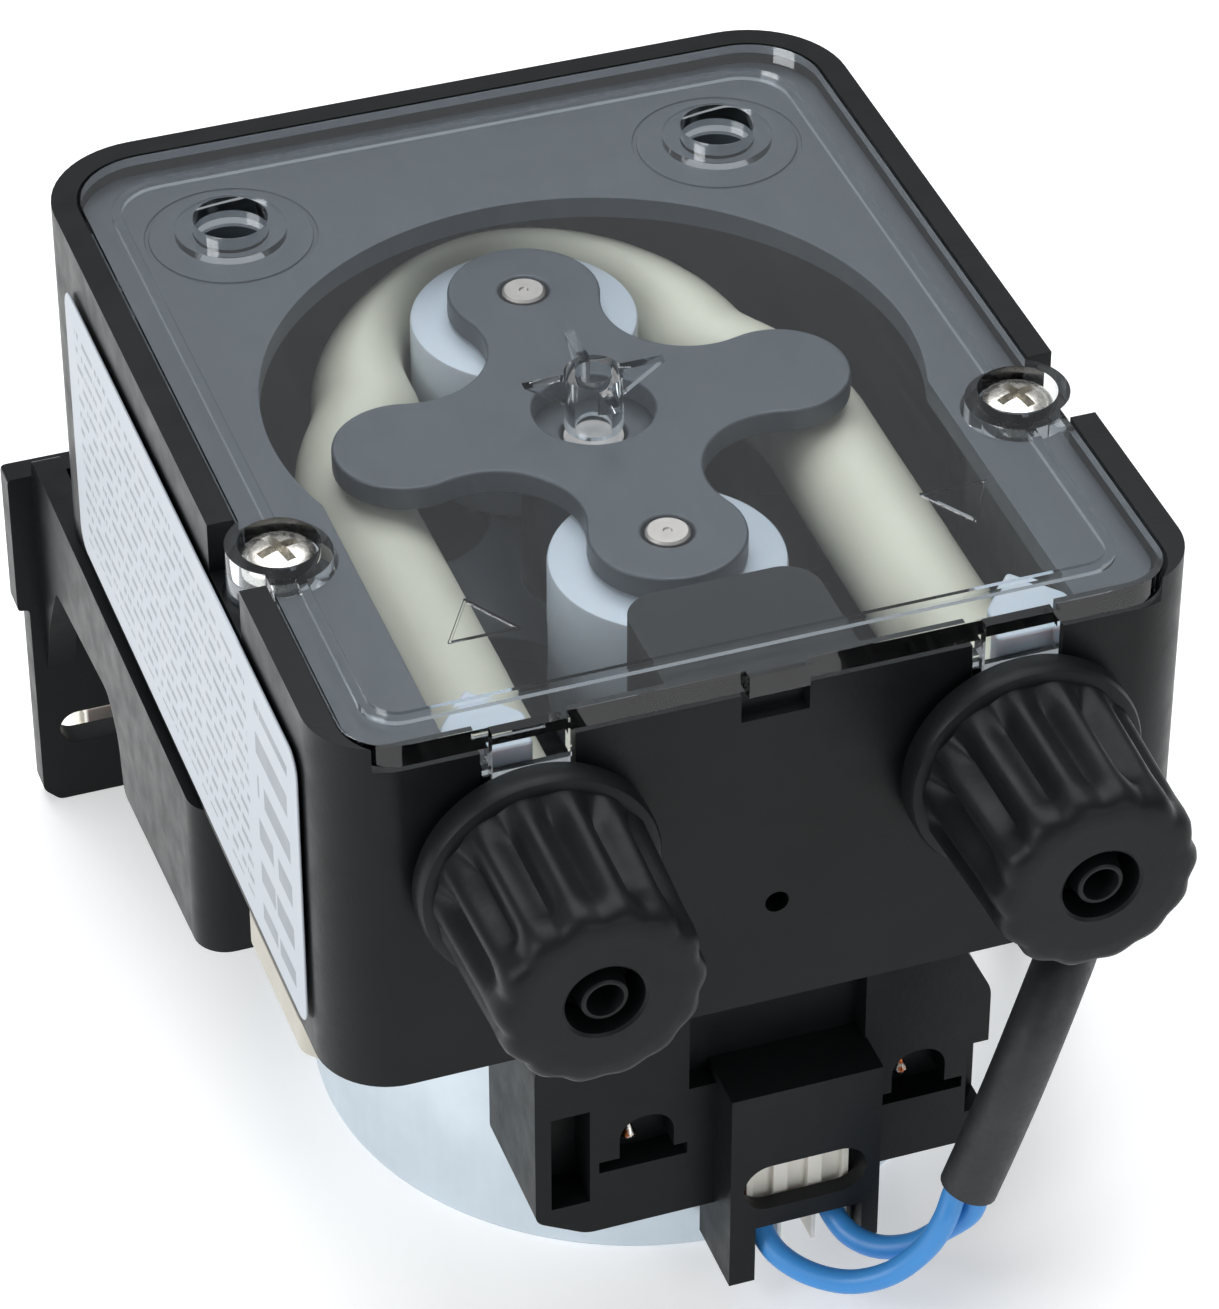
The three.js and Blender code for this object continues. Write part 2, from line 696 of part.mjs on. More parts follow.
function pinHoles(solid) {
  let drilled = solid;
  for (const sign of [-1, 1]) {
    drilled = drilled.subtract(postZ(0, sign * rollerOrbit, pinRadius + runGap, floorZ, housingTopZ, 20));
  }
  return drilled;
}

function rotorUpperPlate() {
  const plate = prismZ(rotorOutline(), upperPlateZ, rotorTopZ, 7);
  return pinHoles(plate).subtract(postZ(0, 0, hubRecessRadius, upperPlateZ - 1, rotorTopZ + 1));
}

function rotorHub() {
  const plate = prismZ(rotorOutline(), lowerPlateZ, lowerPlateTopZ, 7);
  const hub = postZ(0, 0, hubRadius, lowerPlateZ, upperPlateZ - runGap);
  const bore = postZ(0, 0, shaftRadius + runGap, floorZ, housingTopZ, 24);
  return pinHoles(plate.add(hub)).subtract(bore);
}

function roller(sign) {
  const outer = postZ(0, sign * rollerOrbit, rollerRadius, rollerBottomZ, rollerTopZ, 40);
  return outer.subtract(postZ(0, sign * rollerOrbit, pinRadius + runGap, floorZ, housingTopZ, 20));
}

function rollerPin(sign) {
  return postZ(0, sign * rollerOrbit, pinRadius, lowerPlateZ, rotorTopZ + 0.1, 20);
}

// ---------------------------------------------------------------- pump tube

const legEndY = housingFrontY + housingWall + 0.6 + 2 * runGap;
const squeezeStart = THREE.MathUtils.degToRad(50);
const squeezeEnd = THREE.MathUtils.degToRad(4);

function smooth(value) {
  const t = THREE.MathUtils.clamp(value, 0, 1);
  return t * t * (3 - 2 * t);
}

// distance of the tube from the rotor axis: it hugs the rear roller, and elsewhere it lies as wide as its legs
function tubeOrbit(fromRoller, squeeze) {
  const reach = rollerRadius + runGap + THREE.MathUtils.lerp(tubeOuter, squeezedTube, squeeze) / 2;
  const aside = rollerOrbit * Math.sin(fromRoller);
  const hugging = rollerOrbit * Math.cos(fromRoller) + Math.sqrt(Math.max(0, reach ** 2 - aside ** 2));
  return (nozzleX + hugging + Math.hypot(nozzleX - hugging, 0.8)) / 2;
}

// where the tube runs: position, outward direction and how far it is squeezed there
function tubeStations() {
  const stations = [];
  const legSteps = 2;
  const arcSteps = 32;
  for (let i = 0; i < legSteps; i += 1) {
    stations.push({ x: -nozzleX, y: legEndY * (1 - i / legSteps), squeeze: 0 });
  }
  for (let i = 0; i <= arcSteps; i += 1) {
    const angle = Math.PI * (1 - i / arcSteps);
    const fromRoller = Math.abs(angle - Math.PI / 2);
    const squeeze = smooth((squeezeStart - fromRoller) / (squeezeStart - squeezeEnd));
    const orbit = tubeOrbit(fromRoller, squeeze);
    stations.push({ x: orbit * Math.cos(angle), y: orbit * Math.sin(angle), squeeze });
  }
  for (let i = legSteps - 1; i >= 0; i -= 1) {
    stations.push({ x: nozzleX, y: legEndY * (1 - i / legSteps), squeeze: 0 });
  }
  stations.forEach((station, i) => {
    const before = stations[Math.max(i - 1, 0)];
    const after = stations[Math.min(i + 1, stations.length - 1)];
    station.outward = Math.atan2(after.y - before.y, after.x - before.x) + Math.PI / 2;
  });
  return stations;
}

function tubeRing(station, isBore) {
  const round = tubeOuter / 2;
  const wall = isBore ? tubeWall - 0.3 * station.squeeze : 0;
  const thick = THREE.MathUtils.lerp(round, squeezedTube / 2, station.squeeze) - wall;
  const high = THREE.MathUtils.lerp(round, 6.5, station.squeeze) - wall;
  const sidesOfTube = 12;
  const ring = [];
  for (let i = 0; i < sidesOfTube; i += 1) {
    const angle = (i / sidesOfTube) * 2 * Math.PI;
    const across = thick * Math.cos(angle);
    ring.push(new THREE.Vector3(station.x + across * Math.cos(station.outward),
      station.y + across * Math.sin(station.outward), nozzleZ + high * Math.sin(angle)));
  }
  return ring;
}

function pumpTube() {
  const stations = tubeStations();
  const skin = stations.map((station) => tubeRing(station, false));
  const bore = stations.map((station) => tubeRing(station, true)).reverse();
  return ringBody([...skin, ...bore]);
}

function tubeRetainer(sign) {
  const front = housingFrontY + housingWall + runGap;
  const centre = sign * (nozzleX + 2.4);
  const half = 3.4;
  const bottomZ = nozzleZ + tubeOuter / 2 + runGap;
  const outline = polygon([[centre - half, front], [centre + half, front], [centre + half, front + 1.6],
    [centre, front + 5.6], [centre - half, front + 1.6]]);
  return prismZ(outline, bottomZ, deckTopZ - 0.5);
}

// ---------------------------------------------------------------- nozzles and hose nuts

const nozzleReach = 18.4; // in front of the housing
const threadReach = 9;

function hoseNozzle(sign) {
  const behind = -(housingWall + 0.6);
  const insideTube = tubeOuter / 2 - tubeWall - runGap;
  const barrel = turnedY([
    [nozzleBore, -7.5],
    [insideTube - 0.5, -7.5],
    [insideTube, -6.5],
    [insideTube, behind - 0.02],
    [nozzleThreadRadius, behind],
    [nozzleThreadRadius, threadReach],
    [barbRadius + 0.3, threadReach + 0.5],
    [barbRadius + 0.3, nozzleReach - 3.4],
    [barbRadius - 0.2, nozzleReach - 3.2],
    [barbRadius, nozzleReach - 2.6],
    [barbRadius - 0.35, nozzleReach - 0.8],
    [nozzleBore, nozzleReach - 0.8],
    [nozzleBore, -7.5],
  ], sign * nozzleX, housingFrontY, nozzleZ, 20);
  // the plate that slides down into the slot of the housing, and lies under the clip of the cover
  const x = sign * nozzleX;
  const half = nozzleSlotHalf - runGap;
  return barrel.add(box(x - half, x + half, housingFrontY + 0.4, housingFrontY + housingWall, nozzleZ,
    coverTopZ - clipDepth - runGap));
}

// a ring gripped between the nut and the hose, which travels with the nut
function compressionRing(sign) {
  const inner = hoseHoleRadius + 0.05;
  const outer = 4.2;
  const back = threadReach + 1.2;
  return turnedY([[inner, back], [outer, back], [outer, back + 3], [inner, back + 3.6], [inner, back]],
    sign * nozzleX, housingFrontY, nozzleZ, 20);
}

function nutRing(x, y, base, rib) {
  const rise = [0, 0.45, 1, 1, 0.45];
  const perRib = rise.length;
  const ring = [];
  for (let i = 0; i < nutRibs * perRib; i += 1) {
    const angle = (-i / (nutRibs * perRib)) * 2 * Math.PI;
    const radius = base + rib * rise[i % perRib];
    ring.push(new THREE.Vector3(x + radius * Math.cos(angle), y, nozzleZ + radius * Math.sin(angle)));
  }
  return ring;
}

function hoseNut(sign) {
  const x = sign * nozzleX;
  const back = housingFrontY - 2 * runGap;
  const tip = back - nutLength;
  const threadBore = nozzleThreadRadius + runGap;
  const bodyRadius = nutFlangeRadius - 1.6;
  const coreTip = nutTipRadius - 1;
  return ringBody([
    nutRing(x, back, threadBore, 0),
    nutRing(x, back, nutFlangeRadius, 0),
    nutRing(x, back - 3, nutFlangeRadius, 0),
    nutRing(x, back - 3.02, bodyRadius, 1),
    nutRing(x, tip + 1, coreTip, 1),
    nutRing(x, tip, coreTip - 0.6, 0.5),
    nutRing(x, tip, hoseHoleRadius, 0),
    nutRing(x, housingFrontY - threadReach - 5.4, hoseHoleRadius, 0),
    nutRing(x, housingFrontY - threadReach - 4.9, threadBore, 0),
  ]);
}

// ---------------------------------------------------------------- terminal block and plug

const keyholes = [{ name: 'left', x: -6.9, slotX: -7.2 }, { name: 'right', x: 17.4, slotX: 17.5 }];
const keyholeZ = 19.5;
const keyholeSlotZ = 16.7;
const socketWall = 1.7;
const socketLeft = socketCentreX - socketWidth / 2;
const socketRight = socketCentreX + socketWidth / 2;
const socketBackY = -(canRadius + 2 * runGap);
const plugTopZ = 18.6;

function terminalBlock() {
  const corner = 2.5;
  const face = new THREE.Shape();
  face.moveTo(blockLeftX, blockBottomZ + corner);
  face.lineTo(blockLeftX + 4.5, blockBottomZ);
  face.lineTo(blockRightX, blockBottomZ);
  face.lineTo(blockRightX, blockTopZ - 2 * corner);
  face.lineTo(blockRightX - corner, blockTopZ);
  face.lineTo(blockLeftX + corner, blockTopZ);
  face.lineTo(blockLeftX, blockTopZ - corner);
  face.lineTo(blockLeftX, blockBottomZ + corner);
  let block = prismY(face, blockFrontY, -20);
  // the middle of the top lies further back than the two ends
  block = block.subtract(box(socketLeft - 2.4, socketRight - 0.2, blockFrontY - 1, blockFrontY + 2.2,
    socketTopZ - 1, blockTopZ + 1));
  block = block.add(box(socketLeft, socketRight, socketFrontY, blockFrontY + 3.5, socketBottomZ, socketTopZ));
  const barrel = postZ(canX, 0, canRadius + runGap, 0, canTopZ, 56);
  block = block.subtract(barrel);
  // cavity for the plug, open below, with a long window in front
  block = block.subtract(box(socketLeft + socketWall, socketRight - socketWall, socketFrontY + 1.5, -25,
    socketBottomZ - 1, plugTopZ + runGap));
  const windowHalf = 2.4;
  const window = roundedOutline(socketLeft + 1.2, socketRight - 1.2, 13.6 - windowHalf, 13.6 + windowHalf,
    [windowHalf, windowHalf, windowHalf, windowHalf]);
  block = block.subtract(prismY(window, socketFrontY - 1, socketFrontY + 2));
  block = block.subtract(box(socketLeft + 2.3, socketRight - 1.5, socketFrontY - 1, socketFrontY + 2,
    socketBottomZ - 1, 9.2));
  block = block.subtract(box(socketCentreX, socketRight + 1, socketFrontY - 1, -25, socketBottomZ - 1,
    socketBottomZ + 2));
  // recesses over the winding ends
  for (const hole of keyholes) {
    const round = roundedOutline(hole.x - 2.4, hole.x + 2.4, keyholeZ - 2.6, keyholeZ + 1.9, [0.3, 0.3, 1.8, 1.8]);
    const cut = prismY(round, blockFrontY - 1, blockFrontY + 2.7);
    block = block.subtract(cut);
    block = block.subtract(box(hole.slotX - 3.9, hole.slotX + 3.9, blockFrontY - 1, blockFrontY + 2.7,
      keyholeSlotZ - 0.6, keyholeSlotZ + 0.6));
  }
  block = block.subtract(box(-15.3, -11.9, blockFrontY - 1, blockFrontY + 4, 13.2, 23.3));
  return block.subtract(box(blockRightX - 1.9, blockRightX + 1, blockFrontY - 1, blockFrontY + 3, 13, 20.7));
}

function windingEnd(hole) {
  const x = hole.x - 1.2;
  const y = blockFrontY + 1.6;
  const wire = postZ(x, y, 0.5, keyholeSlotZ + 0.4, keyholeZ + 1.3, 8);
  const bead = new THREE.SphereGeometry(0.85, 8, 6);
  bead.translate(x, y, keyholeSlotZ + 1.1);
  return wire.add(toSolid(bead));
}

const poleSpacing = 3.1;
const plugHalf = 4.6;
const plugFrontY = socketFrontY + 1.5 + runGap;
const plugBottomZ = 4.6;
const wireEntryY = -34;

function plugHousing() {
  const back = -(canRadius + 1.1);
  let plug = box(socketCentreX - plugHalf, socketCentreX + plugHalf, plugFrontY, back, plugBottomZ, plugTopZ);
  for (const pole of [-1, 0, 1]) {
    const x = socketCentreX + pole * poleSpacing;
    plug = plug.subtract(box(x - wireRadius - runGap, x + wireRadius + runGap, plugFrontY - 1, wireEntryY + 2,
      plugBottomZ - 1, plugBottomZ + 4.6));
    plug = plug.subtract(box(x - 0.9, x + 0.9, plugFrontY - 1, plugFrontY + 0.6, 9.6, plugTopZ - 1.6));
  }
  return plug;
}

// ---------------------------------------------------------------- supply lead

const leftPoleX = socketCentreX - poleSpacing;
const rightPoleX = socketCentreX + poleSpacing;
const wireStartZ = plugBottomZ + 3.6;

// both wires end a little short of the mouth of the sleeve
const sleeveMouth = [17.7, -43.8, 15.3];
const leftWirePath = [
  [leftPoleX, wireEntryY + 1, wireStartZ],
  [leftPoleX, wireEntryY - 0.8, wireStartZ - 1.3],
  [leftPoleX + 0.8, wireEntryY - 3, wireStartZ - 2.5],
  [leftPoleX + 2.8, wireEntryY - 5.4, 5],
  [leftPoleX + 5.6, wireEntryY - 7.6, 5.2],
  [leftPoleX + 8.6, wireEntryY - 9.2, 6.8],
  [leftPoleX + 11.1, wireEntryY - 10.2, 9.8],
  [sleeveMouth[0] - 2.3, sleeveMouth[1] - 0.6, sleeveMouth[2] - 2.6],
  [sleeveMouth[0] - 1.25, sleeveMouth[1], sleeveMouth[2] - 0.1],
];
const rightWirePath = [
  [rightPoleX, wireEntryY + 1, wireStartZ],
  [rightPoleX + 0.1, wireEntryY - 0.9, wireStartZ - 1],
  [rightPoleX + 0.9, wireEntryY - 3.2, wireStartZ - 1.9],
  [rightPoleX + 2.6, wireEntryY - 5.4, wireStartZ - 1.9],
  [rightPoleX + 4.9, wireEntryY - 7.4, 7.6],
  [rightPoleX + 7, wireEntryY - 8.8, 10],
  [sleeveMouth[0] + 0.2, sleeveMouth[1] - 0.1, sleeveMouth[2] - 2.9],
  [sleeveMouth[0] + 0.95, sleeveMouth[1], sleeveMouth[2] - 0.8],
];
const sleevePath = [
  sleeveMouth,
  [19.3, -43.9, 20],
  [21.2, -43.9, 25.6],
  [23.3, -43.2, 30.6],
  [26, -40.8, 33.5],
  [28.8, -37, 33.4],
  [31.4, -31.8, 30.9],
  [33.4, -26, 27.6],
  [35.2, -20, 24],
  [37.2, -13.4, 19.6],
  [39.8, -5.6, 14.2],
  [42.4, 3, 9],
  [44.8, 13, 5.2],
  [46.6, 25, 3.3],
  [47.6, 38, 2.7],
  [coilX + coilRadius, 52, 2.7],
  [coilX + coilRadius, coilY - coilRadius * 0.66, 2.7],
];
const coilPitch = 2 * sleeveRadius + 0.3;
const coilTopZ = 2.7 + coilTurns * coilPitch;
const tailX = coilX - coilRadius;
const tailY = coilY - coilRadius * 0.66;
const tailPath = [
  [tailX - 2.6, tailY, coilTopZ - 5.75],
  [tailX - 5, tailY - 4.2, coilTopZ - 9.5],
  [tailX - 8.6, tailY - 6.9, 3.8],
  [tailX - 12.6, tailY - 8, 2.7],
  [tailX - 15.2, tailY - 8, 2.7],
];

function sleeveCoil() {
  const inner = coilRadius - sleeveRadius - 0.3;
  const outer = coilRadius + sleeveRadius + 0.3;
  const top = coilTopZ + sleeveRadius + 0.1;
  return turnedZ([[inner, 0.1], [outer, 0.1], [outer, top], [inner, top], [inner, 0.1]], coilX, coilY, 40);
}

const connectorLength = 13;

function leadConnector() {
  const [x, y] = tailPath.at(-1);
  return box(x - connectorLength - runGap, x - runGap, y - 4.5, y + 4.5, 0.1, 7.1);
}

// ---------------------------------------------------------------- label

function sideLabel() {
  const outside = -halfWidth - runGap;
  const outline = roundedOutline(-36, 32, housingBottomZ + 2.2, housingTopZ - 4.5, [2, 2, 2, 2]);
  return prismX(outline, outside - 0.2, outside, 4);
}

// ---------------------------------------------------------------- assembly

addPart('motor_can', motorCan(), 'zinc');
addPart('stator_coil', statorCoil(), 'copper');
addPart('magnet_rotor', magnetRotor(), 'magnet');
addPart('gear_case', gearCase(), 'beigePlate');
addPart('drive_shaft', driveShaft(), 'steel');
addPart('mounting_plate', mountingPlate(), 'beigePlate');
for (const screw of plateScrews) addPart(screw.name, plateScrew(screw), 'steel');
addPart('mounting_bracket', mountingBracket(), 'blackPlastic');
addPart('pump_housing', pumpHousing(), 'blackPlastic');
addPart('deck_plate', deckPlate(), 'greyPlastic');
addPart('clear_cover', clearCover(), 'clearPlastic');
addPart('rotor_upper_plate', rotorUpperPlate(), 'rotorPlastic');
addPart('rotor_hub', rotorHub(), 'rotorPlastic');
addPart('roller_rear', roller(1), 'whitePlastic');
addPart('roller_front', roller(-1), 'whitePlastic');
addPart('roller_pin_rear', rollerPin(1), 'steel');
addPart('roller_pin_front', rollerPin(-1), 'steel');
addPart('pump_tube', pumpTube(), 'ivoryRubber');
for (const side of sides) {
  addPart(`cover_screw_${side.name}`, coverScrew(side.sign * coverScrewX), 'steel');
  addPart(`tube_retainer_${side.name}`, tubeRetainer(side.sign), 'whitePlastic');
  addPart(`hose_nozzle_${side.name}`, hoseNozzle(side.sign), 'blackPlastic');
  addPart(`compression_ring_${side.name}`, compressionRing(side.sign), 'blackPlastic');
  addPart(`hose_nut_${side.name}`, hoseNut(side.sign), 'blackPlastic');
}
addPart('terminal_block', terminalBlock(), 'blackPlastic');
for (const hole of keyholes) addPart(`winding_end_${hole.name}`, windingEnd(hole), 'copper');
addPart('plug_housing', plugHousing(), 'plugPlastic');
addPart('wire_left', cordAlong(leftWirePath, wireRadius, 20, 6), 'blueWire');
addPart('wire_right', cordAlong(rightWirePath, wireRadius, 16, 6), 'blueWire');
addPart('lead_sleeve', cordAlong(sleevePath, sleeveRadius, 32, 8), 'blackSleeve');
addPart('lead_coil', sleeveCoil(), 'blackSleeve');
addPart('lead_tail', cordAlong(tailPath, sleeveRadius, 6, 8), 'blackSleeve');
addPart('lead_connector', leadConnector(), 'plugPlastic');
addPart('side_label', sideLabel(), 'label');

export default pump;
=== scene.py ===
"""A peristaltic dosing pump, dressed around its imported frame. Sizes in the code are millimetres."""

import math

import bmesh
import bpy
from mathutils import Matrix, Vector


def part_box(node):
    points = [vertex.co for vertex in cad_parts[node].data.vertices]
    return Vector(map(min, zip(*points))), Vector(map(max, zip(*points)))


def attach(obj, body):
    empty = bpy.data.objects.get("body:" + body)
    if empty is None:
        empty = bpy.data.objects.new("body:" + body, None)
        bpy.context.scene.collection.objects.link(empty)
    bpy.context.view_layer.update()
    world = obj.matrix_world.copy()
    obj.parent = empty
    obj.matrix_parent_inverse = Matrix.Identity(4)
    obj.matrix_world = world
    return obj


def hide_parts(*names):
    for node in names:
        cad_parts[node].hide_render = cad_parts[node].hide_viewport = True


bl_info = {
    "name": "Dosing pump",
    "version": (1, 0, 0),
    "blender": (4, 5, 0),
    "location": "View3D > Sidebar > Dosing pump",
    "description": "Builds a small peristaltic pump, its gear motor and its lead around their frame",
    "category": "Object",
}

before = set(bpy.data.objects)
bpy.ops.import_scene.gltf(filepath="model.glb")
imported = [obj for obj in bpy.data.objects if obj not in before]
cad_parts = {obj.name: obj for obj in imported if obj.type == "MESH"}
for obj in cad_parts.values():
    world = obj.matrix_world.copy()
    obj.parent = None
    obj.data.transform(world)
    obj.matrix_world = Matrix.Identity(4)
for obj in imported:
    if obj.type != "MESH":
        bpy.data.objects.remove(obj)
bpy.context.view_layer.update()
MM = 0.001
SIDES = (("left", -1), ("right", 1))


# ---------------------------------------------------------------- the frame's own levels


def span(node):
    """Lowest and highest corner of a frame node, in millimetres."""
    low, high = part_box(node)
    return low / MM, high / MM


def centre(node):
    """Middle of a frame node's box, in millimetres."""
    low, high = span(node)
    return [(a + b) / 2 for a, b in zip(low, high)]


HOUSING = span("pump_housing")
DECK = span("deck_plate")
COVER = span("clear_cover")
UPPER_PLATE = span("rotor_upper_plate")
HUB = span("rotor_hub")
ROLLER = span("roller_front")
PIN = span("roller_pin_front")
TUBE = span("pump_tube")
CAN = span("motor_can")
PLATE = span("mounting_plate")
BRACKET = span("mounting_bracket")
BLOCK = span("terminal_block")
NUT = span("hose_nut_right")
NOZZLE = span("hose_nozzle_right")
PLUG = span("plug_housing")
LABEL = span("side_label")
SCREW = span("cover_screw_right")

NOZZLE_X, _, NOZZLE_Z = centre("hose_nozzle_right")
SCREW_X, SCREW_Y, _ = centre("cover_screw_right")
CAN_X = centre("motor_can")[0]
CAN_RADIUS = (CAN[1].x - CAN[0].x) / 2
ROLLER_ORBIT = -(PIN[0].y + PIN[1].y) / 2
ROLLER_RADIUS = (ROLLER[1].x - ROLLER[0].x) / 2
FLOOR_Z = HUB[0].z - 0.5
COVER_BOTTOM_Z = COVER[1].z - 2

# the clearance between pieces, and the radii of the holes for pins and for fixing screws
RUN_GAP = 0.3
PIN_HOLE = 2.15
FIXING_HOLE = 1.6


# ---------------------------------------------------------------- sizes and colours a user would change


def linear(hex_colour):
    """An sRGB hex colour as the linear numbers that shaders take."""
    values = [int(hex_colour[i : i + 2], 16) / 255 for i in (1, 3, 5)]
    return tuple(v / 12.92 if v <= 0.04045 else ((v + 0.055) / 1.055) ** 2.4 for v in values)


def length(name, description, default_mm):
    return bpy.props.FloatProperty(
        name=name, description=description, default=default_mm * MM, min=0, precision=5, unit="LENGTH"
    )


def colour(name, description, default_hex):
    return bpy.props.FloatVectorProperty(
        name=name, description=description, default=linear(default_hex), min=0, max=1, size=3, subtype="COLOR"
    )


class PumpSizes(bpy.types.PropertyGroup):
    """Sizes that the frame's boxes don't give"""

    wall: length("Housing wall", "Thickness of the housing's side walls", 2.2)
    front_corner: length("Front corner", "Radius of the housing's two front corners", 6)
    back_corner: length("Back corner", "Radius of the housing's two rear corners", 9)
    race_radius: length("Raceway radius", "Radius of the wall that the tube is pressed against", 31.1)
    deck_opening: length("Deck opening", "Radius of the round opening in the deck", 27.4)
    mounting_x: length("Mounting hole, sideways", "Distance of each mounting hole from the middle", 22)
    mounting_y: length("Mounting hole, back", "Distance of the mounting holes behind the rotor axis", 30.5)
    mounting_radius: length("Mounting hole radius", "Radius of the two mounting holes", 3.2)
    lobe_radius: length("Roller lobe", "Radius of the rotor plate around each roller pin", 6.5)
    guide_orbit: length("Guide lobe distance", "Distance of the guide lobes from the rotor axis", 16.3)
    guide_radius: length("Guide lobe", "Radius of the rotor's two tube-guiding lobes", 6)
    arm_fillet: length("Arm fillet", "Radius of the hollows between the rotor's lobes", 7.2)
    tube_radius: length("Tube radius", "Outer radius of the pump tube where it is free", 4.8)
    squeezed: length("Squeezed tube", "Thickness of the tube under a roller", 2.8)
    edge: length("Moulded edge", "Radius on the edges of moulded parts", 0.3)
    wire_radius: length("Wire radius", "Outer radius of each insulated wire", 1.05)
    sleeve_radius: length("Sleeve radius", "Outer radius of the sleeve over the wires", 2.5)


class PumpColours(bpy.types.PropertyGroup):
    """Base colours of the materials"""

    black: colour("Black plastic", "Housing, nuts, bracket and terminal block", "#121415")
    deck: colour("Deck grey", "Deck plate", "#2f353b")
    rotor: colour("Rotor grey", "Rotor plates", "#31373d")
    roller: colour("Roller white", "Rollers", "#bcc3ca")
    tube: colour("Tube ivory", "Pump tube", "#cfcab7")
    zinc: colour("Zinc", "Motor can", "#d5e0e8")
    nickel: colour("Nickel", "Cover screws", "#cfccc5")
    steel: colour("Steel", "Roller pins and shaft", "#a39c97")
    plate: colour("Beige plastic", "Mounting plate", "#b5b1a5")
    plug: colour("Nylon white", "Plug and connector", "#e9e6dc")
    wire: colour("Wire blue", "Insulation of the two wires", "#3f8fd6")
    sleeve: colour("Sleeve black", "Sleeve over the wires", "#232528")
    label: colour("Label silver", "Ground of the side label", "#a8afb7")
    ink: colour("Label grey", "Printed lines on the side label", "#777f88")
    copper: colour("Copper", "Winding and its ends", "#b8683c")
    ferrite: colour("Ferrite", "Motor magnet", "#37322f")
    floor: colour("Floor", "Surface that the pump stands on", "#f2f2f2")


def size(name):
    """One of the sizes, in millimetres."""
    return getattr(bpy.context.scene.pump_sizes, name) / MM


def tint(name):
    """One of the colours, with full alpha, as a shader takes it."""
    return (*getattr(bpy.context.scene.pump_colours, name), 1)


# ---------------------------------------------------------------- materials


def add_node(tree, kind, inputs=None, **settings):
    """Adds a shader node; an input that is given a socket is linked to it, any other is set."""
    made = tree.nodes.new(kind)
    for key, value in settings.items():
        setattr(made, key, value)
    for key, value in (inputs or {}).items():
        if isinstance(value, bpy.types.NodeSocket):
            tree.links.new(value, made.inputs[key])
        else:
            made.inputs[key].default_value = value
    return made


def new_material(name):
    """An empty node material and its tree."""
    if name in bpy.data.materials:
        return bpy.data.materials[name], None
    material = bpy.data.materials.new(name)
    material.use_nodes = True
    material.node_tree.nodes.clear()
    return material, material.node_tree


def object_place(tree, scale=(1, 1, 1)):
    """Object coordinates stretched by scale, so that a pattern can be longer one way."""
    place = add_node(tree, "ShaderNodeTexCoord")
    mapped = add_node(tree, "ShaderNodeMapping", {"Vector": place.outputs["Object"], "Scale": scale})
    return mapped.outputs["Vector"]


def grain(tree, size_mm, detail=3, place=None):
    """Noise whose lumps are size_mm across."""
    place = place or object_place(tree)
    inputs = {"Vector": place, "Scale": 1 / (size_mm * MM), "Detail": detail}
    return add_node(tree, "ShaderNodeTexNoise", inputs).outputs["Fac"]


def shaded(tree, low, high, by, start=0.3, end=0.7):
    """Colour that runs from low to high with the value by."""
    ramp = add_node(tree, "ShaderNodeValToRGB", {"Fac": by})
    ramp.color_ramp.elements[0].position = start
    ramp.color_ramp.elements[0].color = low
    ramp.color_ramp.elements[1].position = end
    ramp.color_ramp.elements[1].color = high
    return ramp.outputs["Color"]


def ranged(tree, by, low, high):
    """The value by, which runs from 0.3 to 0.7, taken to run from low to high."""
    inputs = {"Value": by, "From Min": 0.3, "From Max": 0.7, "To Min": low, "To Max": high}
    return add_node(tree, "ShaderNodeMapRange", inputs).outputs["Result"]


def lighter(colour_value, factor):
    return (*(min(1, channel * factor) for channel in colour_value[:3]), 1)


def bumped(tree, height, depth_mm, normal=None):
    inputs = {"Height": height, "Distance": depth_mm * MM, "Strength": 1.0}
    if normal is not None:
        inputs["Normal"] = normal
    return add_node(tree, "ShaderNodeBump", inputs).outputs["Normal"]


def closed_with(tree, shader):
    add_node(tree, "ShaderNodeOutputMaterial", {"Surface": shader})


def moulded(name, base, roughness, grain_mm, grain_depth, variation=0.12, ior=1.5, extra=None):
    """A moulded plastic or rubber: cloudy colour, patchy gloss and the fine texture of its mould."""
    material, tree = new_material(name)
    if tree is None:
        return material
    clouds = grain(tree, 14)
    fine = grain(tree, grain_mm, detail=2)
    marks = grain(tree, 2.5, detail=5)
    shader = add_node(
        tree,
        "ShaderNodeBsdfPrincipled",
        {
            "Base Color": shaded(tree, lighter(base, 1 - variation), lighter(base, 1 + variation), clouds),
            "Roughness": ranged(tree, marks, roughness - 0.05, roughness + 0.07),
            "IOR": ior,
            "Normal": bumped(tree, fine, grain_depth),
            **(extra or {}),
        },
    )
    closed_with(tree, shader.outputs["BSDF"])
    return material


def black_abs():
    # ABS from a fine-etched mould: near black, with a soft sheen that spreads over rounded edges
    extra = {"Specular IOR Level": 0.15}
    return moulded("black_ABS_moulded", tint("black"), 0.36, 0.45, 0.012, 0.18, extra=extra)


def black_nylon():
    # glass-filled nylon: a little greyer than the housing, with coarser grain
    extra = {"Specular IOR Level": 0.16}
    return moulded("black_nylon_moulded", lighter(tint("black"), 1.15), 0.4, 0.6, 0.02, 0.2, extra=extra)


def deck_polystyrene():
    # flat satin sheet, so that it reads as one even grey through the cover
    return moulded("grey_polystyrene_moulded", tint("deck"), 0.5, 0.5, 0.008, 0.06)


def rotor_acetal():
    # acetal: smooth and slightly waxy
    return moulded("grey_acetal_moulded", tint("rotor"), 0.42, 0.6, 0.006, 0.06, 1.48)


def roller_acetal():
    # natural acetal: milky white, light passes a little way in
    extra = {"Subsurface Weight": 0.2, "Subsurface Scale": 0.002}
    return moulded("natural_acetal_turned", tint("roller"), 0.35, 0.8, 0.004, 0.03, 1.48, extra)


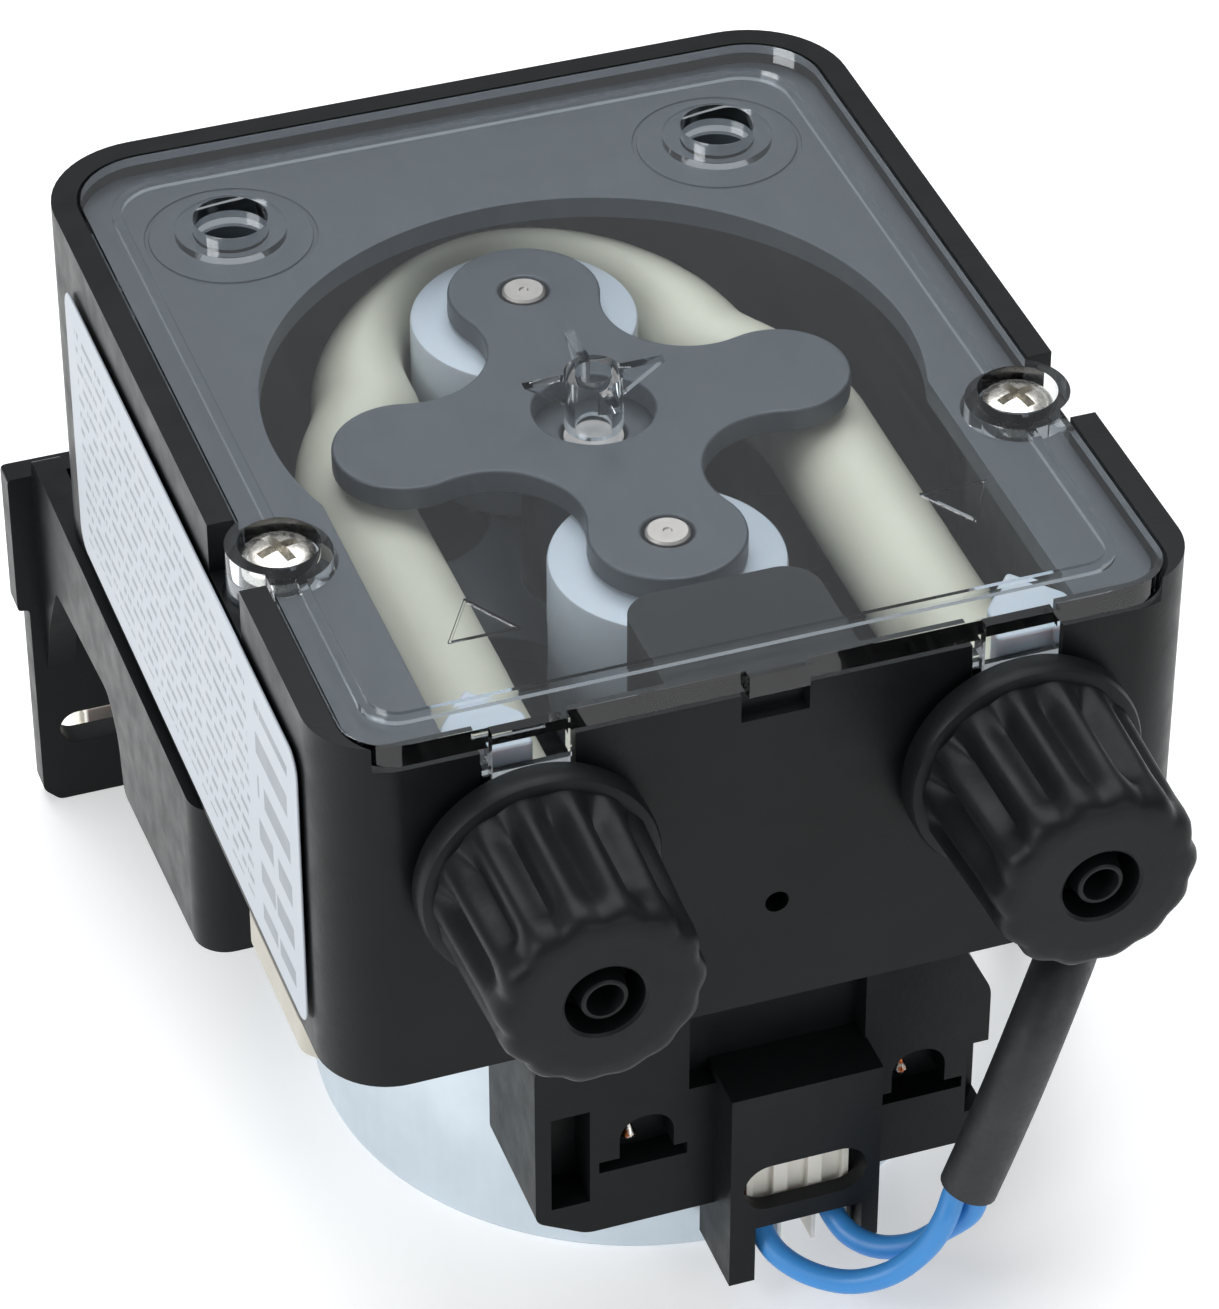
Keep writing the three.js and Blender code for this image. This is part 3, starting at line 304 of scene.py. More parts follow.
def clear_nylon():
    # natural nylon: pale and cloudy
    extra = {"Subsurface Weight": 0.4, "Subsurface Scale": 0.003}
    base = lighter(tint("roller"), 0.92)
    return moulded("natural_nylon_moulded", base, 0.35, 0.8, 0.006, 0.04, 1.53, extra)


def pump_rubber():
    # thermoplastic rubber tube: soft ivory, dull, with light passing into its wall
    extra = {"Subsurface Weight": 0.25, "Subsurface Scale": 0.003, "Subsurface Radius": (1, 0.8, 0.5)}
    return moulded("ivory_rubber_extruded", tint("tube"), 0.5, 1.2, 0.01, 0.04, 1.5, extra)


def plug_nylon():
    # off-white nylon: warm, with small glossy flats
    extra = {"Subsurface Weight": 0.15, "Subsurface Scale": 0.001}
    return moulded("white_nylon_moulded", tint("plug"), 0.42, 0.5, 0.008, 0.04, 1.53, extra)


def plate_plastic():
    # filled polyester: an even beige with a soft, wide highlight
    return moulded("beige_polyester_moulded", tint("plate"), 0.5, 0.6, 0.012, 0.06)


def wire_pvc():
    # soft PVC insulation: even colour with a long soft highlight
    return moulded("blue_PVC_extruded", tint("wire"), 0.36, 0.9, 0.006, 0.05)


def sleeve_pvc():
    # thin matt PVC sleeving: dull, with a shallow wrinkle pattern where it bends; the same pattern paints its
    # colour darker in the wrinkle hollows and lighter on the crests, which is painted shade and painted
    # highlight
    material, tree = new_material("black_PVC_sleeving_matt")
    if tree is None:
        return material
    wrinkles_and_painted_shade = grain(tree, 3.5, detail=2)
    fine = grain(tree, 0.5, detail=2)
    rough = bumped(tree, wrinkles_and_painted_shade, 0.22)
    shader = add_node(
        tree,
        "ShaderNodeBsdfPrincipled",
        {
            # painted shade and highlight: the colour follows the wrinkle bumps, darker in their hollows and
            # lighter on their crests
            "Base Color": shaded(tree, lighter(tint("sleeve"), 0.85), lighter(tint("sleeve"), 1.3), wrinkles_and_painted_shade),
            "Roughness": ranged(tree, fine, 0.48, 0.62),
            "Normal": bumped(tree, fine, 0.012, rough),
        },
    )
    closed_with(tree, shader.outputs["BSDF"])
    return material


def metal(name, base, roughness, place_scale, line_mm, depth_mm, variation):
    """A metal whose rolling, turning or brushing marks are stretched by place_scale."""
    material, tree = new_material(name)
    if tree is None:
        return material
    lines = grain(tree, line_mm, 4, object_place(tree, place_scale))
    patches = grain(tree, 9, detail=4)
    shader = add_node(
        tree,
        "ShaderNodeBsdfPrincipled",
        {
            "Base Color": shaded(tree, lighter(base, 1 - variation), lighter(base, 1 + variation), patches),
            "Metallic": 1.0,
            "Roughness": ranged(tree, lines, roughness - 0.06, roughness + 0.08),
            "Normal": bumped(tree, lines, depth_mm),
        },
    )
    closed_with(tree, shader.outputs["BSDF"])
    return material


def zinc_plated():
    # bright zinc on drawn steel: bluish, with faint upright draw marks and cloudy patches
    return metal("zinc_plated_steel_drawn", tint("zinc"), 0.36, (1, 1, 0.08), 0.7, 0.006, 0.08)


def nickel_plated():
    # nickel on a pressed screw head: warm, bright, lightly pitted
    return metal("nickel_plated_steel_pressed", tint("nickel"), 0.26, (1, 1, 1), 0.5, 0.02, 0.08)


def ground_steel():
    # ground steel pin: a fine matt ring pattern on its end
    return metal("steel_ground", tint("steel"), 0.42, (1, 1, 1), 0.35, 0.012, 0.1)


def soldered_copper():
    # enamelled copper, dipped in solder at its lower end
    material, tree = new_material("copper_soldered")
    if tree is None:
        return material
    blobs = grain(tree, 1.1, detail=2)
    shader = add_node(
        tree,
        "ShaderNodeBsdfPrincipled",
        {
            "Base Color": shaded(tree, tint("copper"), tint("nickel"), blobs, 0.44, 0.52),
            "Metallic": 1.0,
            "Roughness": ranged(tree, blobs, 0.3, 0.18),
            "Normal": bumped(tree, blobs, 0.12),
        },
    )
    closed_with(tree, shader.outputs["BSDF"])
    return material


def copper_winding():
    # enamelled copper wire, wound in rings: the bands are one wire thickness apart
    material, tree = new_material("copper_wire_wound")
    if tree is None:
        return material
    turns = add_node(
        tree,
        "ShaderNodeTexWave",
        {"Vector": object_place(tree), "Scale": 1 / (0.35 * MM) / 20, "Distortion": 0.4, "Detail": 1.0},
        wave_type="BANDS",
        bands_direction="Z",
    ).outputs["Fac"]
    shader = add_node(
        tree,
        "ShaderNodeBsdfPrincipled",
        {
            # painted shade: the colour darkens to 0.4 of the copper in the grooves between the turns,
            # following the same bands as the bumps
            "Base Color": shaded(tree, lighter(tint("copper"), 0.4), tint("copper"), turns, 0.1, 0.7),
            "Metallic": 1.0,
            "Roughness": ranged(tree, turns, 0.4, 0.28),
            "Normal": bumped(tree, turns, 0.15),
        },
    )
    closed_with(tree, shader.outputs["BSDF"])
    return material


def sintered_ferrite():
    # pressed ferrite: dark, dry and finely pitted
    return moulded("ferrite_sintered", tint("ferrite"), 0.62, 0.35, 0.05, 0.15)


def clear_polycarbonate():
    # polished polycarbonate: clear, with bright edges and a faint haze of fine scratches
    material, tree = new_material("clear_polycarbonate_polished")
    if tree is None:
        return material
    ripple = grain(tree, 16, detail=1)
    scratches = grain(tree, 0.8, 2, object_place(tree, (1, 0.05, 1)))
    glass = add_node(
        tree,
        "ShaderNodeBsdfPrincipled",
        {
            "Base Color": (0.93, 0.96, 0.98, 1),
            "Roughness": ranged(tree, scratches, 0.0, 0.05),
            "IOR": 1.52,
            "Transmission Weight": 1.0,
            "Normal": bumped(tree, ripple, 0.02),
        },
    )
    passing = add_node(tree, "ShaderNodeBsdfTransparent", {"Color": (0.90, 0.93, 0.95, 1)})
    path = add_node(tree, "ShaderNodeLightPath")
    either = add_node(
        tree,
        "ShaderNodeMath",
        {0: path.outputs["Is Shadow Ray"], 1: path.outputs["Is Diffuse Ray"]},
        operation="MAXIMUM",
    )
    mixed = add_node(
        tree,
        "ShaderNodeMixShader",
        {"Fac": either.outputs[0], 1: glass.outputs["BSDF"], 2: passing.outputs["BSDF"]},
    )
    closed_with(tree, mixed.outputs["Shader"])
    return material


def label_film():
    """Silver-grey film with rows of grey dashes in place of any wording."""
    material, tree = new_material("polyester_film_printed")
    if tree is None:
        return material
    place = add_node(tree, "ShaderNodeTexCoord")
    parts = add_node(tree, "ShaderNodeSeparateXYZ", {"Vector": place.outputs["Object"]})
    along, up = parts.outputs["Y"], parts.outputs["Z"]

    def calc(operation, first, second=0.0):
        return add_node(tree, "ShaderNodeMath", {0: first, 1: second}, operation=operation).outputs[0]

    def rows(pitch_mm, share):
        phase = calc("FRACT", calc("DIVIDE", up, pitch_mm * MM))
        return calc("LESS_THAN", phase, share)

    def words(pitch_mm, word_mm, share):
        row = calc("FLOOR", calc("DIVIDE", up, pitch_mm * MM))
        shifted = calc("ADD", along, calc("MULTIPLY", row, 0.0137))
        cell = add_node(tree, "ShaderNodeCombineXYZ", {"X": calc("DIVIDE", shifted, word_mm * MM), "Y": row})
        noise = add_node(
            tree, "ShaderNodeTexNoise", {"Vector": cell.outputs["Vector"], "Scale": 1.0, "Detail": 2.0}
        )
        return calc("GREATER_THAN", noise.outputs["Fac"], share)

    def within(value, low_mm, high_mm):
        above = calc("GREATER_THAN", value, low_mm * MM)
        return calc("MULTIPLY", above, calc("LESS_THAN", value, high_mm * MM))

    small = calc("MULTIPLY", rows(1.7, 0.36), words(1.7, 1.5, 0.48))
    small = calc("MULTIPLY", small, calc("MULTIPLY", within(along, -22, 29), within(up, 44.5, 67)))
    strong = calc("MULTIPLY", rows(4.4, 0.5), words(4.4, 2.8, 0.42))
    strong = calc("MULTIPLY", strong, calc("MULTIPLY", within(along, -33.5, -24.5), within(up, 44.5, 67)))
    ink = calc("MAXIMUM", small, strong)
    worn = grain(tree, 6, detail=3)
    colours = add_node(tree, "ShaderNodeMix", data_type="RGBA")
    tree.links.new(ink, colours.inputs["Factor"])
    tree.links.new(
        shaded(tree, lighter(tint("label"), 0.95), lighter(tint("label"), 1.04), worn), colours.inputs["A"]
    )
    colours.inputs["B"].default_value = tint("ink")
    shader = add_node(
        tree,
        "ShaderNodeBsdfPrincipled",
        {
            "Base Color": colours.outputs["Result"],
            "Roughness": ranged(tree, worn, 0.3, 0.4),
            "Normal": bumped(tree, worn, 0.03),
        },
    )
    closed_with(tree, shader.outputs["BSDF"])
    return material


def studio_paint():
    # matt white paint that glows a little, so that the floor stays pale under soft light
    extra = {"Emission Color": tint("floor"), "Emission Strength": 0.36}
    return moulded("studio_floor_painted", tint("floor"), 0.7, 6, 0.02, 0.004, extra=extra)


# ---------------------------------------------------------------- outlines


def arc(x, y, radius, start, end, steps):
    """Points from angle start to angle end, in degrees, both included."""
    turns = [math.radians(start + (end - start) * i / steps) for i in range(steps + 1)]
    return [(x + radius * math.cos(t), y + radius * math.sin(t)) for t in turns]


def circle(x, y, radius, steps=72):
    return arc(x, y, radius, 0, 360 - 360 / steps, steps - 1)


def rounded(x0, x1, y0, y1, corners, steps=10):
    """A rectangle with its four corner radii: front left, front right, back right, back left."""
    places = [(x0, y0, 1, 1, 180), (x1, y0, -1, 1, 270), (x1, y1, -1, -1, 0), (x0, y1, 1, -1, 90)]
    outline = []
    for (x, y, inward_x, inward_y, start), radius in zip(places, corners):
        if radius <= 0:
            outline.append((x, y))
        else:
            outline += arc(x + inward_x * radius, y + inward_y * radius, radius, start, start + 90, steps)
    return outline


def rectangle(x0, x1, y0, y1):
    return [(x0, y0), (x1, y0), (x1, y1), (x0, y1)]


def softened(points, radius, steps=5):
    """The same polygon with each corner rounded, by no more than its sides allow."""
    outline = []
    count = len(points)
    for i, point in enumerate(points):
        here = Vector(point)
        before = Vector(points[i - 1]) - here
        after = Vector(points[(i + 1) % count]) - here
        reach = min(radius, before.length * 0.45, after.length * 0.45)
        first = here + before.normalized() * reach
        last = here + after.normalized() * reach
        for j in range(steps + 1):
            t = j / steps
            outline.append(tuple(first.lerp(here, t).lerp(here.lerp(last, t), t)))
    return outline


# ---------------------------------------------------------------- solids


def object_of(bm, name="shape"):
    bmesh.ops.recalc_face_normals(bm, faces=bm.faces)
    mesh = bpy.data.meshes.new(name)
    bm.to_mesh(mesh)
    bm.free()
    made = bpy.data.objects.new(name, mesh)
    bpy.context.scene.collection.objects.link(made)
    return made


def raised(outline, low, high, axis="Z"):
    """An outline made solid: in X and Y along Z, in X and Z along Y, or in Y and Z along X."""
    orders = {
        "X": lambda a, b, c: (c, a, b),
        "Y": lambda a, b, c: (a, c, b),
        "Z": lambda a, b, c: (a, b, c),
    }
    order = orders[axis]
    bm = bmesh.new()
    bottom = [bm.verts.new(order(a, b, low)) for a, b in outline]
    top = [bm.verts.new(order(a, b, high)) for a, b in outline]
    bm.faces.new(bottom)
    bm.faces.new(top)
    for i in range(len(outline)):
        j = (i + 1) % len(outline)
        bm.faces.new((bottom[i], bottom[j], top[j], top[i]))
    return object_of(bm)


def block(x0, x1, y0, y1, z0, z1):
    return raised(rectangle(x0, x1, y0, y1), z0, z1)


def post(x, y, radius, z0, z1, steps=72):
    return raised(circle(x, y, radius, steps), z0, z1)


def bored(x, z, radius, y0, y1, steps=72):
    """A round bar along Y."""
    return raised(circle(x, z, radius, steps), y0, y1, "Y")


def turned(profile, x, y, z=0.0, axis="Z", steps=96):
    """A profile of (radius, height) turned about Z through (x, y), or about Y through (x, z)."""
    bm = bmesh.new()
    if axis == "Z":
        points = [bm.verts.new((x + radius, y, height)) for radius, height in profile]
        centre, line = (x, y, 0), (0, 0, 1)
    else:
        points = [bm.verts.new((x + radius, height, z)) for radius, height in profile]
        centre, line = (x, 0, z), (0, 1, 0)
    edges = [bm.edges.new(pair) for pair in zip(points, points[1:])]
    if profile[0][0] > 0:
        edges.append(bm.edges.new((points[-1], points[0])))
    bmesh.ops.spin(
        bm, geom=points + edges, cent=centre, axis=line, angle=math.tau, steps=steps, use_merge=True
    )
    bmesh.ops.remove_doubles(bm, verts=bm.verts, dist=1e-4)
    return object_of(bm)


def through_rings(rings, closed=True):
    """Rings of equally many points, joined each to the next; not closed, both ends are capped."""
    bm = bmesh.new()
    made = [[bm.verts.new(point) for point in ring] for ring in rings]
    pairs = list(zip(made, made[1:]))
    if closed:
        pairs.append((made[-1], made[0]))
    else:
        bm.faces.new(made[0])
        bm.faces.new(made[-1])
    for first, second in pairs:
        for i in range(len(first)):
            j = (i + 1) % len(first)
            bm.faces.new((first[i], first[j], second[j], second[i]))
    return object_of(bm)


def applied(obj):
    """The object's mesh with its modifiers made final."""
    graph = bpy.context.evaluated_depsgraph_get()
    graph.update()
    mesh = bpy.data.meshes.new_from_object(obj.evaluated_get(graph), depsgraph=graph)
    obj.modifiers.clear()
    obj.data = mesh
    return obj


def joined(base, *others):
    return combined(base, others, "UNION")


def cut(base, *others):
    return combined(base, others, "DIFFERENCE")


def combined(base, others, operation):
    for other in others:
        modifier = base.modifiers.new("combine", "BOOLEAN")
        modifier.operation = operation
        modifier.solver = "EXACT"
        modifier.object = other
    applied(base)
    for other in others:
        bpy.data.objects.remove(other)
    return base


def finished(obj, name, body, material, nodes=(), edge=None, angle=32, segments=3):
    """Rounds the edges, shades, scales to metres, and gives the piece its name, body and finish."""
    edge = size("edge") if edge is None else edge
    if edge > 0:
        tidy = obj.modifiers.new("tidy", "WELD")
        tidy.merge_threshold = 0.002
        bevel = obj.modifiers.new("edges", "BEVEL")
        bevel.width = edge
        bevel.segments = segments
        bevel.limit_method = "ANGLE"
        bevel.angle_limit = math.radians(angle)
        bevel.use_clamp_overlap = True
        obj.data.shade_smooth()
        weighted = obj.modifiers.new("shading", "WEIGHTED_NORMAL")
        weighted.keep_sharp = True
        applied(obj)
    else:
        obj.data.shade_smooth()
        obj.data.set_sharp_from_angle(angle=math.radians(angle))
    obj.data.transform(Matrix.Scale(MM, 4))
    obj.name = name
    obj.data.name = name
    obj.data.materials.clear()
    obj.data.materials.append(material)
    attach(obj, body)
    if nodes:
        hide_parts(*nodes)
    return obj


def dressed(node, material):
    """Gives a frame node that stays as it is its finish."""
    node_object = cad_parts[node]
    node_object.data.materials.clear()
    node_object.data.materials.append(material)


# ---------------------------------------------------------------- paths


def smooth_path(points, per_span=8):
    """Points on one smooth curve through the given ones."""
    given = [Vector(p) for p in points]
    given = [given[0] * 2 - given[1], *given, given[-1] * 2 - given[-2]]
    path = []
    for a, b, c, d in zip(given, given[1:], given[2:], given[3:]):
        for i in range(per_span):
            t = i / per_span
            square, cube = 2 * a - 5 * b + 4 * c - d, 3 * b - a - 3 * c + d
            path.append(0.5 * (2 * b + (c - a) * t + square * t * t + cube * t**3))
    path.append(given[-2])
    return path


def sections(path, radii, sides):
    """A circle of points across the path at each of its points, carried along without twisting."""
    rings = []
    across = None
    for i, point in enumerate(path):
        ahead = (path[min(i + 1, len(path) - 1)] - path[max(i - 1, 0)]).normalized()
        if across is None:
            across = ahead.orthogonal().normalized()
        across = (across - ahead * across.dot(ahead)).normalized()
        upright = ahead.cross(across)
        rings.append(
            [
                point + radii[i] * (across * math.cos(a) + upright * math.sin(a))
                for a in (math.tau * k / sides for k in range(sides))
            ]
        )
    return rings


def tube_along(path, radius, sides=20, rounding=0.25):
    """A solid round cord with softened ends."""
    radii = [radius] * len(path)
    radii[0] = radii[-1] = radius - rounding
    return through_rings(sections(path, radii, sides), closed=False)


# ---------------------------------------------------------------- the lead: the same route as the frame's

SLEEVE_MOUTH = (17.7, -43.8, 15.3)
WIRE_ENTRY_Y = -34
WIRE_START_Z = 8.2
LEFT_POLE_X = 2.8
RIGHT_POLE_X = 9.0
LEFT_WIRE = [
    (LEFT_POLE_X, WIRE_ENTRY_Y + 1, WIRE_START_Z),
    (LEFT_POLE_X, WIRE_ENTRY_Y - 0.8, WIRE_START_Z - 1.3),
    (LEFT_POLE_X + 0.8, WIRE_ENTRY_Y - 3, 5.7),
    (LEFT_POLE_X + 2.8, WIRE_ENTRY_Y - 5.4, 5),
    (LEFT_POLE_X + 5.6, WIRE_ENTRY_Y - 7.6, 5.2),
    (LEFT_POLE_X + 8.6, WIRE_ENTRY_Y - 9.2, 6.8),
    (LEFT_POLE_X + 11.1, WIRE_ENTRY_Y - 10.2, 9.8),
    (SLEEVE_MOUTH[0] - 2.3, SLEEVE_MOUTH[1] - 0.6, SLEEVE_MOUTH[2] - 2.6),
    (SLEEVE_MOUTH[0] - 1.05, SLEEVE_MOUTH[1], SLEEVE_MOUTH[2] + 0.2),
]
RIGHT_WIRE = [
    (RIGHT_POLE_X, WIRE_ENTRY_Y + 1, WIRE_START_Z),
    (RIGHT_POLE_X + 0.1, WIRE_ENTRY_Y - 0.9, WIRE_START_Z - 1),
    (RIGHT_POLE_X + 0.9, WIRE_ENTRY_Y - 3.2, 6.3),
    (RIGHT_POLE_X + 2.6, WIRE_ENTRY_Y - 5.4, 6.3),
    (RIGHT_POLE_X + 4.9, WIRE_ENTRY_Y - 7.4, 7.6),
    (RIGHT_POLE_X + 7, WIRE_ENTRY_Y - 8.8, 10),
    (SLEEVE_MOUTH[0] + 0.2, SLEEVE_MOUTH[1] - 0.1, SLEEVE_MOUTH[2] - 2.9),
    (SLEEVE_MOUTH[0] + 1.05, SLEEVE_MOUTH[1], SLEEVE_MOUTH[2] - 0.3),
]
SLEEVE_ROUTE = [
    SLEEVE_MOUTH,
    (19.3, -43.9, 20),
    (21.2, -43.9, 25.6),
    (23.3, -43.2, 30.6),
    (26, -40.8, 33.5),
    (28.8, -37, 33.4),
    (31.4, -31.8, 30.9),
    (33.4, -26, 27.6),
    (35.2, -20, 24),
    (37.2, -13.4, 19.6),
    (39.8, -5.6, 14.2),
    (42.4, 3, 9),
    (44.8, 13, 5.2),
    (46.6, 25, 3.3),
    (47.6, 38, 2.7),
]
COIL_X, COIL_Y, COIL_RADIUS, COIL_TURNS = 22, 83, 26, 2.5
COIL_PITCH = 5.3
COIL_BOTTOM_Z = 2.7
COIL_STEPS = 18
TAIL_ROUTE = [
    (-6.6, 65.84, 10.2),
    (-9, 61.6, 6.4),
    (-12.6, 58.9, 3.8),
    (-16.6, 57.8, 2.7),
    (-19.2, 57.8, 2.7),
]
HIDDEN_WIRE = 14


def coil_route():
    """The stored turns, from the lead's arrival at the floor up to where the tail leaves them."""
    turns = []
    for i in range(int(COIL_TURNS * COIL_STEPS) + 1):
        angle = math.tau * i / COIL_STEPS
        x = COIL_X + COIL_RADIUS * math.cos(angle)
        y = COIL_Y + COIL_RADIUS * math.sin(angle)
        turns.append((x, y, COIL_BOTTOM_Z + COIL_PITCH * i / COIL_STEPS))
    return turns


class PUMP_OT_lead(bpy.types.Operator):
    """Blue wires from the plug, the black sleeve over them, its stored turns and the end connector"""

    bl_idname = "pump.lead"
    bl_label = "Lead"

    def execute(self, context):
        radius = size("sleeve_radius")
        arriving = [(COIL_X + COIL_RADIUS, 52, COIL_BOTTOM_Z), (COIL_X + COIL_RADIUS, 67, COIL_BOTTOM_Z)]
        leaving = [(COIL_X - COIL_RADIUS - 0.5, 76, COIL_BOTTOM_Z + COIL_PITCH * COIL_TURNS - 0.6)]
        route = smooth_path(SLEEVE_ROUTE + arriving + coil_route() + leaving + TAIL_ROUTE, 5)
        bore = radius - 0.45
        inside = route[:26]
        skin = sections(route, [radius] * len(route), 24)
        lining = sections(inside, [bore] * len(inside), 24)
        sleeve = through_rings([*reversed(lining), *skin], closed=False)
        connector = self.connector()
        finished(sleeve, "sleeve", "pump_body", sleeve_pvc(),
                 ["lead_sleeve", "lead_coil", "lead_tail"], edge=0)
        for (name, _), points, offset in zip(SIDES, (LEFT_WIRE, RIGHT_WIRE), (-1.05, 1.05)):
            hidden = []
            for along in range(6, 6 + HIDDEN_WIRE, 3):
                ahead = (route[along + 1] - route[along]).normalized()
                aside = Vector((1, 0, 0)) - ahead * ahead.x
                hidden.append(tuple(route[along] + aside.normalized() * offset))
            path = smooth_path(points + hidden)
            wire = tube_along(path, size("wire_radius"))
            finished(wire, f"wire_{name}_insulation", "pump_body", wire_pvc(),
                     [f"wire_{name}"], edge=0)
            2 * size("wire_radius") * MM
        return {"FINISHED"}

    def connector(self):
        """A small two-pole housing with a latch and two rows of contact windows."""
        low, high = span("lead_connector")
        middle = (low.y + high.y) / 2
        shell = block(low.x, high.x, low.y, high.y, low.z, high.z - 0.9)
        latch = block(low.x + 2, high.x - 5, middle - 1.6, middle + 1.6, high.z - 1.2, high.z)
        shell = joined(shell, latch)
        windows = []
        for side in (-2, 2):
            windows.append(block(low.x - 1, low.x + 3, middle + side - 1.2, middle + side + 1.2, 1.8, 4.6))
            windows.append(block(low.x + 5, low.x + 8, middle + side - 0.8, middle + side + 0.8, 5.6, 8))
        shell = cut(shell, *windows)
        return finished(shell, "end_connector", "pump_body", plug_nylon(),
                        ["lead_connector"], edge=0.25)


# ---------------------------------------------------------------- stage

CAMERA_PLACE = (-121.78, -350.94, 334.28)
CAMERA_RIGHT = (0.94357, -0.33117, 0.0)
CAMERA_UP = (0.20403, 0.58131, 0.78769)
CAMERA_BACK = (-0.26086, -0.74324, 0.61607)


class PUMP_OT_stage(bpy.types.Operator):
    """Camera, pale floor and soft studio lights"""

    bl_idname = "pump.stage"
    bl_label = "Stage"

    def execute(self, context):
        scene = context.scene
        camera = bpy.data.objects.new("camera", bpy.data.cameras.new("camera"))
        camera.data.sensor_fit = "HORIZONTAL"
        camera.data.sensor_width = 36
        camera.data.lens = 163.6
        camera.data.clip_start = 0.01
        axes = Matrix((CAMERA_RIGHT, CAMERA_UP, CAMERA_BACK)).transposed().to_4x4()
        camera.matrix_world = Matrix.Translation(Vector(CAMERA_PLACE) * MM) @ axes
        scene.collection.objects.link(camera)
        scene.camera = camera
        scene.view_settings.view_transform = "Standard"

        bm = bmesh.new()
        bmesh.ops.create_grid(bm, x_segments=2, y_segments=2, size=3)
        floor = object_of(bm, "studio_floor")
        floor.data.materials.append(studio_paint())

        world = bpy.data.worlds.new("studio")
        world.use_nodes = True
        world.node_tree.nodes["Background"].inputs["Color"].default_value = (0.93, 0.96, 1.0, 1)
        world.node_tree.nodes["Background"].inputs["Strength"].default_value = 0.38
        scene.world = world

        lamps = (
            ("overhead_softbox", (0.05, 0.25, 0.75), 0.7, 5.4),
            ("left_softbox", (-0.75, -0.15, 0.45), 0.5, 3.6),
            ("front_softbox", (0.35, -0.85, 0.35), 0.5, 1.6),
        )
        for name, place, across, power in lamps:
            lamp = bpy.data.objects.new(name, bpy.data.lights.new(name, "AREA"))
            lamp.data.size = across
            lamp.data.energy = power
            lamp.location = place
            lamp.rotation_euler = (Vector((0, 0, 0.05)) - Vector(place)).to_track_quat("-Z", "Y").to_euler()
            scene.collection.objects.link(lamp)
        return {"FINISHED"}


# ---------------------------------------------------------------- housing, deck and label

CHAMBER_HALF = 26.4
SLOT_HALF = 3.8
WELL_RADIUS = 4.3


def inner_outline(inset):
    """Inside of the housing's walls, or what fits into it."""
    low, high = HOUSING
    wall = size("wall") + inset
    front = size("front_corner") - wall
    back = size("back_corner") - wall
    return rounded(low.x + wall, high.x - wall, low.y + wall, high.y - wall, (front, front, back, back))


def mounting_posts(radius, low, high):
    return [post(side * size("mounting_x"), size("mounting_y"), radius, low, high) for _, side in SIDES]


class PUMP_OT_housing(bpy.types.Operator):
    """The black box with its raceway, its two nozzle slots and its pockets"""

    bl_idname = "pump.housing"
    bl_label = "Housing"

    def execute(self, context):
        low, high = HOUSING
        wall = size("wall")
        corners = (size("front_corner"),) * 2 + (size("back_corner"),) * 2
        shell = raised(rounded(low.x, high.x, low.y, high.y, corners, 14), low.z, high.z)
        ledge = COVER_BOTTOM_Z - RUN_GAP
        deck_ledge = DECK[0].z - RUN_GAP
        shell = cut(
            shell,
            raised(inner_outline(0), deck_ledge, high.z + 1),
            raised(self.recess(), ledge, high.z + 1),
            post(0, 0, size("race_radius"), FLOOR_Z, high.z, 160),
            block(-CHAMBER_HALF, CHAMBER_HALF, low.y + wall, 0, FLOOR_Z, high.z),
        )
        island = raised(rounded(-8, 8, low.y + 1, -28.35, (0, 0, 3, 3)), FLOOR_Z - 1, DECK[1].z)
        shell = joined(shell, island)

        pockets = cut(
            raised(inner_outline(0), FLOOR_Z, deck_ledge + 1),
            block(low.x, high.x, low.y - 1, 10, FLOOR_Z - 1, high.z),
            post(0, 0, size("race_radius") + 2, FLOOR_Z - 1, high.z, 120),
            *mounting_posts(size("mounting_radius") + 2, FLOOR_Z - 2, high.z),
        )
        hollow = cut(
            raised(inner_outline(0), low.z - 1, low.z + 6.2),
            *mounting_posts(size("mounting_radius") + 2, low.z - 2, high.z),
        )
        shell = cut(shell, pockets, hollow, *mounting_posts(size("mounting_radius"), low.z - 1, high.z))
        shell = cut(shell, post(0, 0, 4.5, low.z, FLOOR_Z + 1))
        tools = []
        for _, side in SIDES:
            x = side * NOZZLE_X
            screw = side * SCREW_X
            front, behind = low.y - 1, low.y + wall + 0.5
            tools.append(block(x - SLOT_HALF, x + SLOT_HALF, front, behind, NOZZLE_Z, high.z + 1))
            tools.append(bored(x, NOZZLE_Z, 4.9, front, behind))
            tools.append(post(screw, SCREW_Y, WELL_RADIUS + 0.3, SCREW[0].z + 11, high.z + 1))
            tools.append(post(screw, SCREW_Y, 1.6, 56, high.z, 24))
            rim, outside = sorted((side * (high.x - wall), side * (high.x + 1)))
            tools.append(block(rim, outside, SCREW_Y - 5, SCREW_Y + 4, ledge - 2.4, high.z + 1))
        tools.append(block(-2.8, 2.8, low.y - 1, low.y + 1.2, COVER_BOTTOM_Z - 2.9, high.z))
        tools.append(bored(0.5, FLOOR_Z + 1.5, 1, low.y - 1, low.y + wall + 1, 24))
        shell = cut(shell, *tools)
        finished(shell, "housing", "pump_body", black_abs(), ["pump_housing"])
        return {"FINISHED"}

    def recess(self):
        """Where the cover lies in the rim, open to the front."""
        low, high = HOUSING
        wall = size("wall")
        back = size("back_corner") - wall
        return rounded(low.x + wall, high.x - wall, low.y - 1, high.y - wall, (5.15, 5.15, back, back))


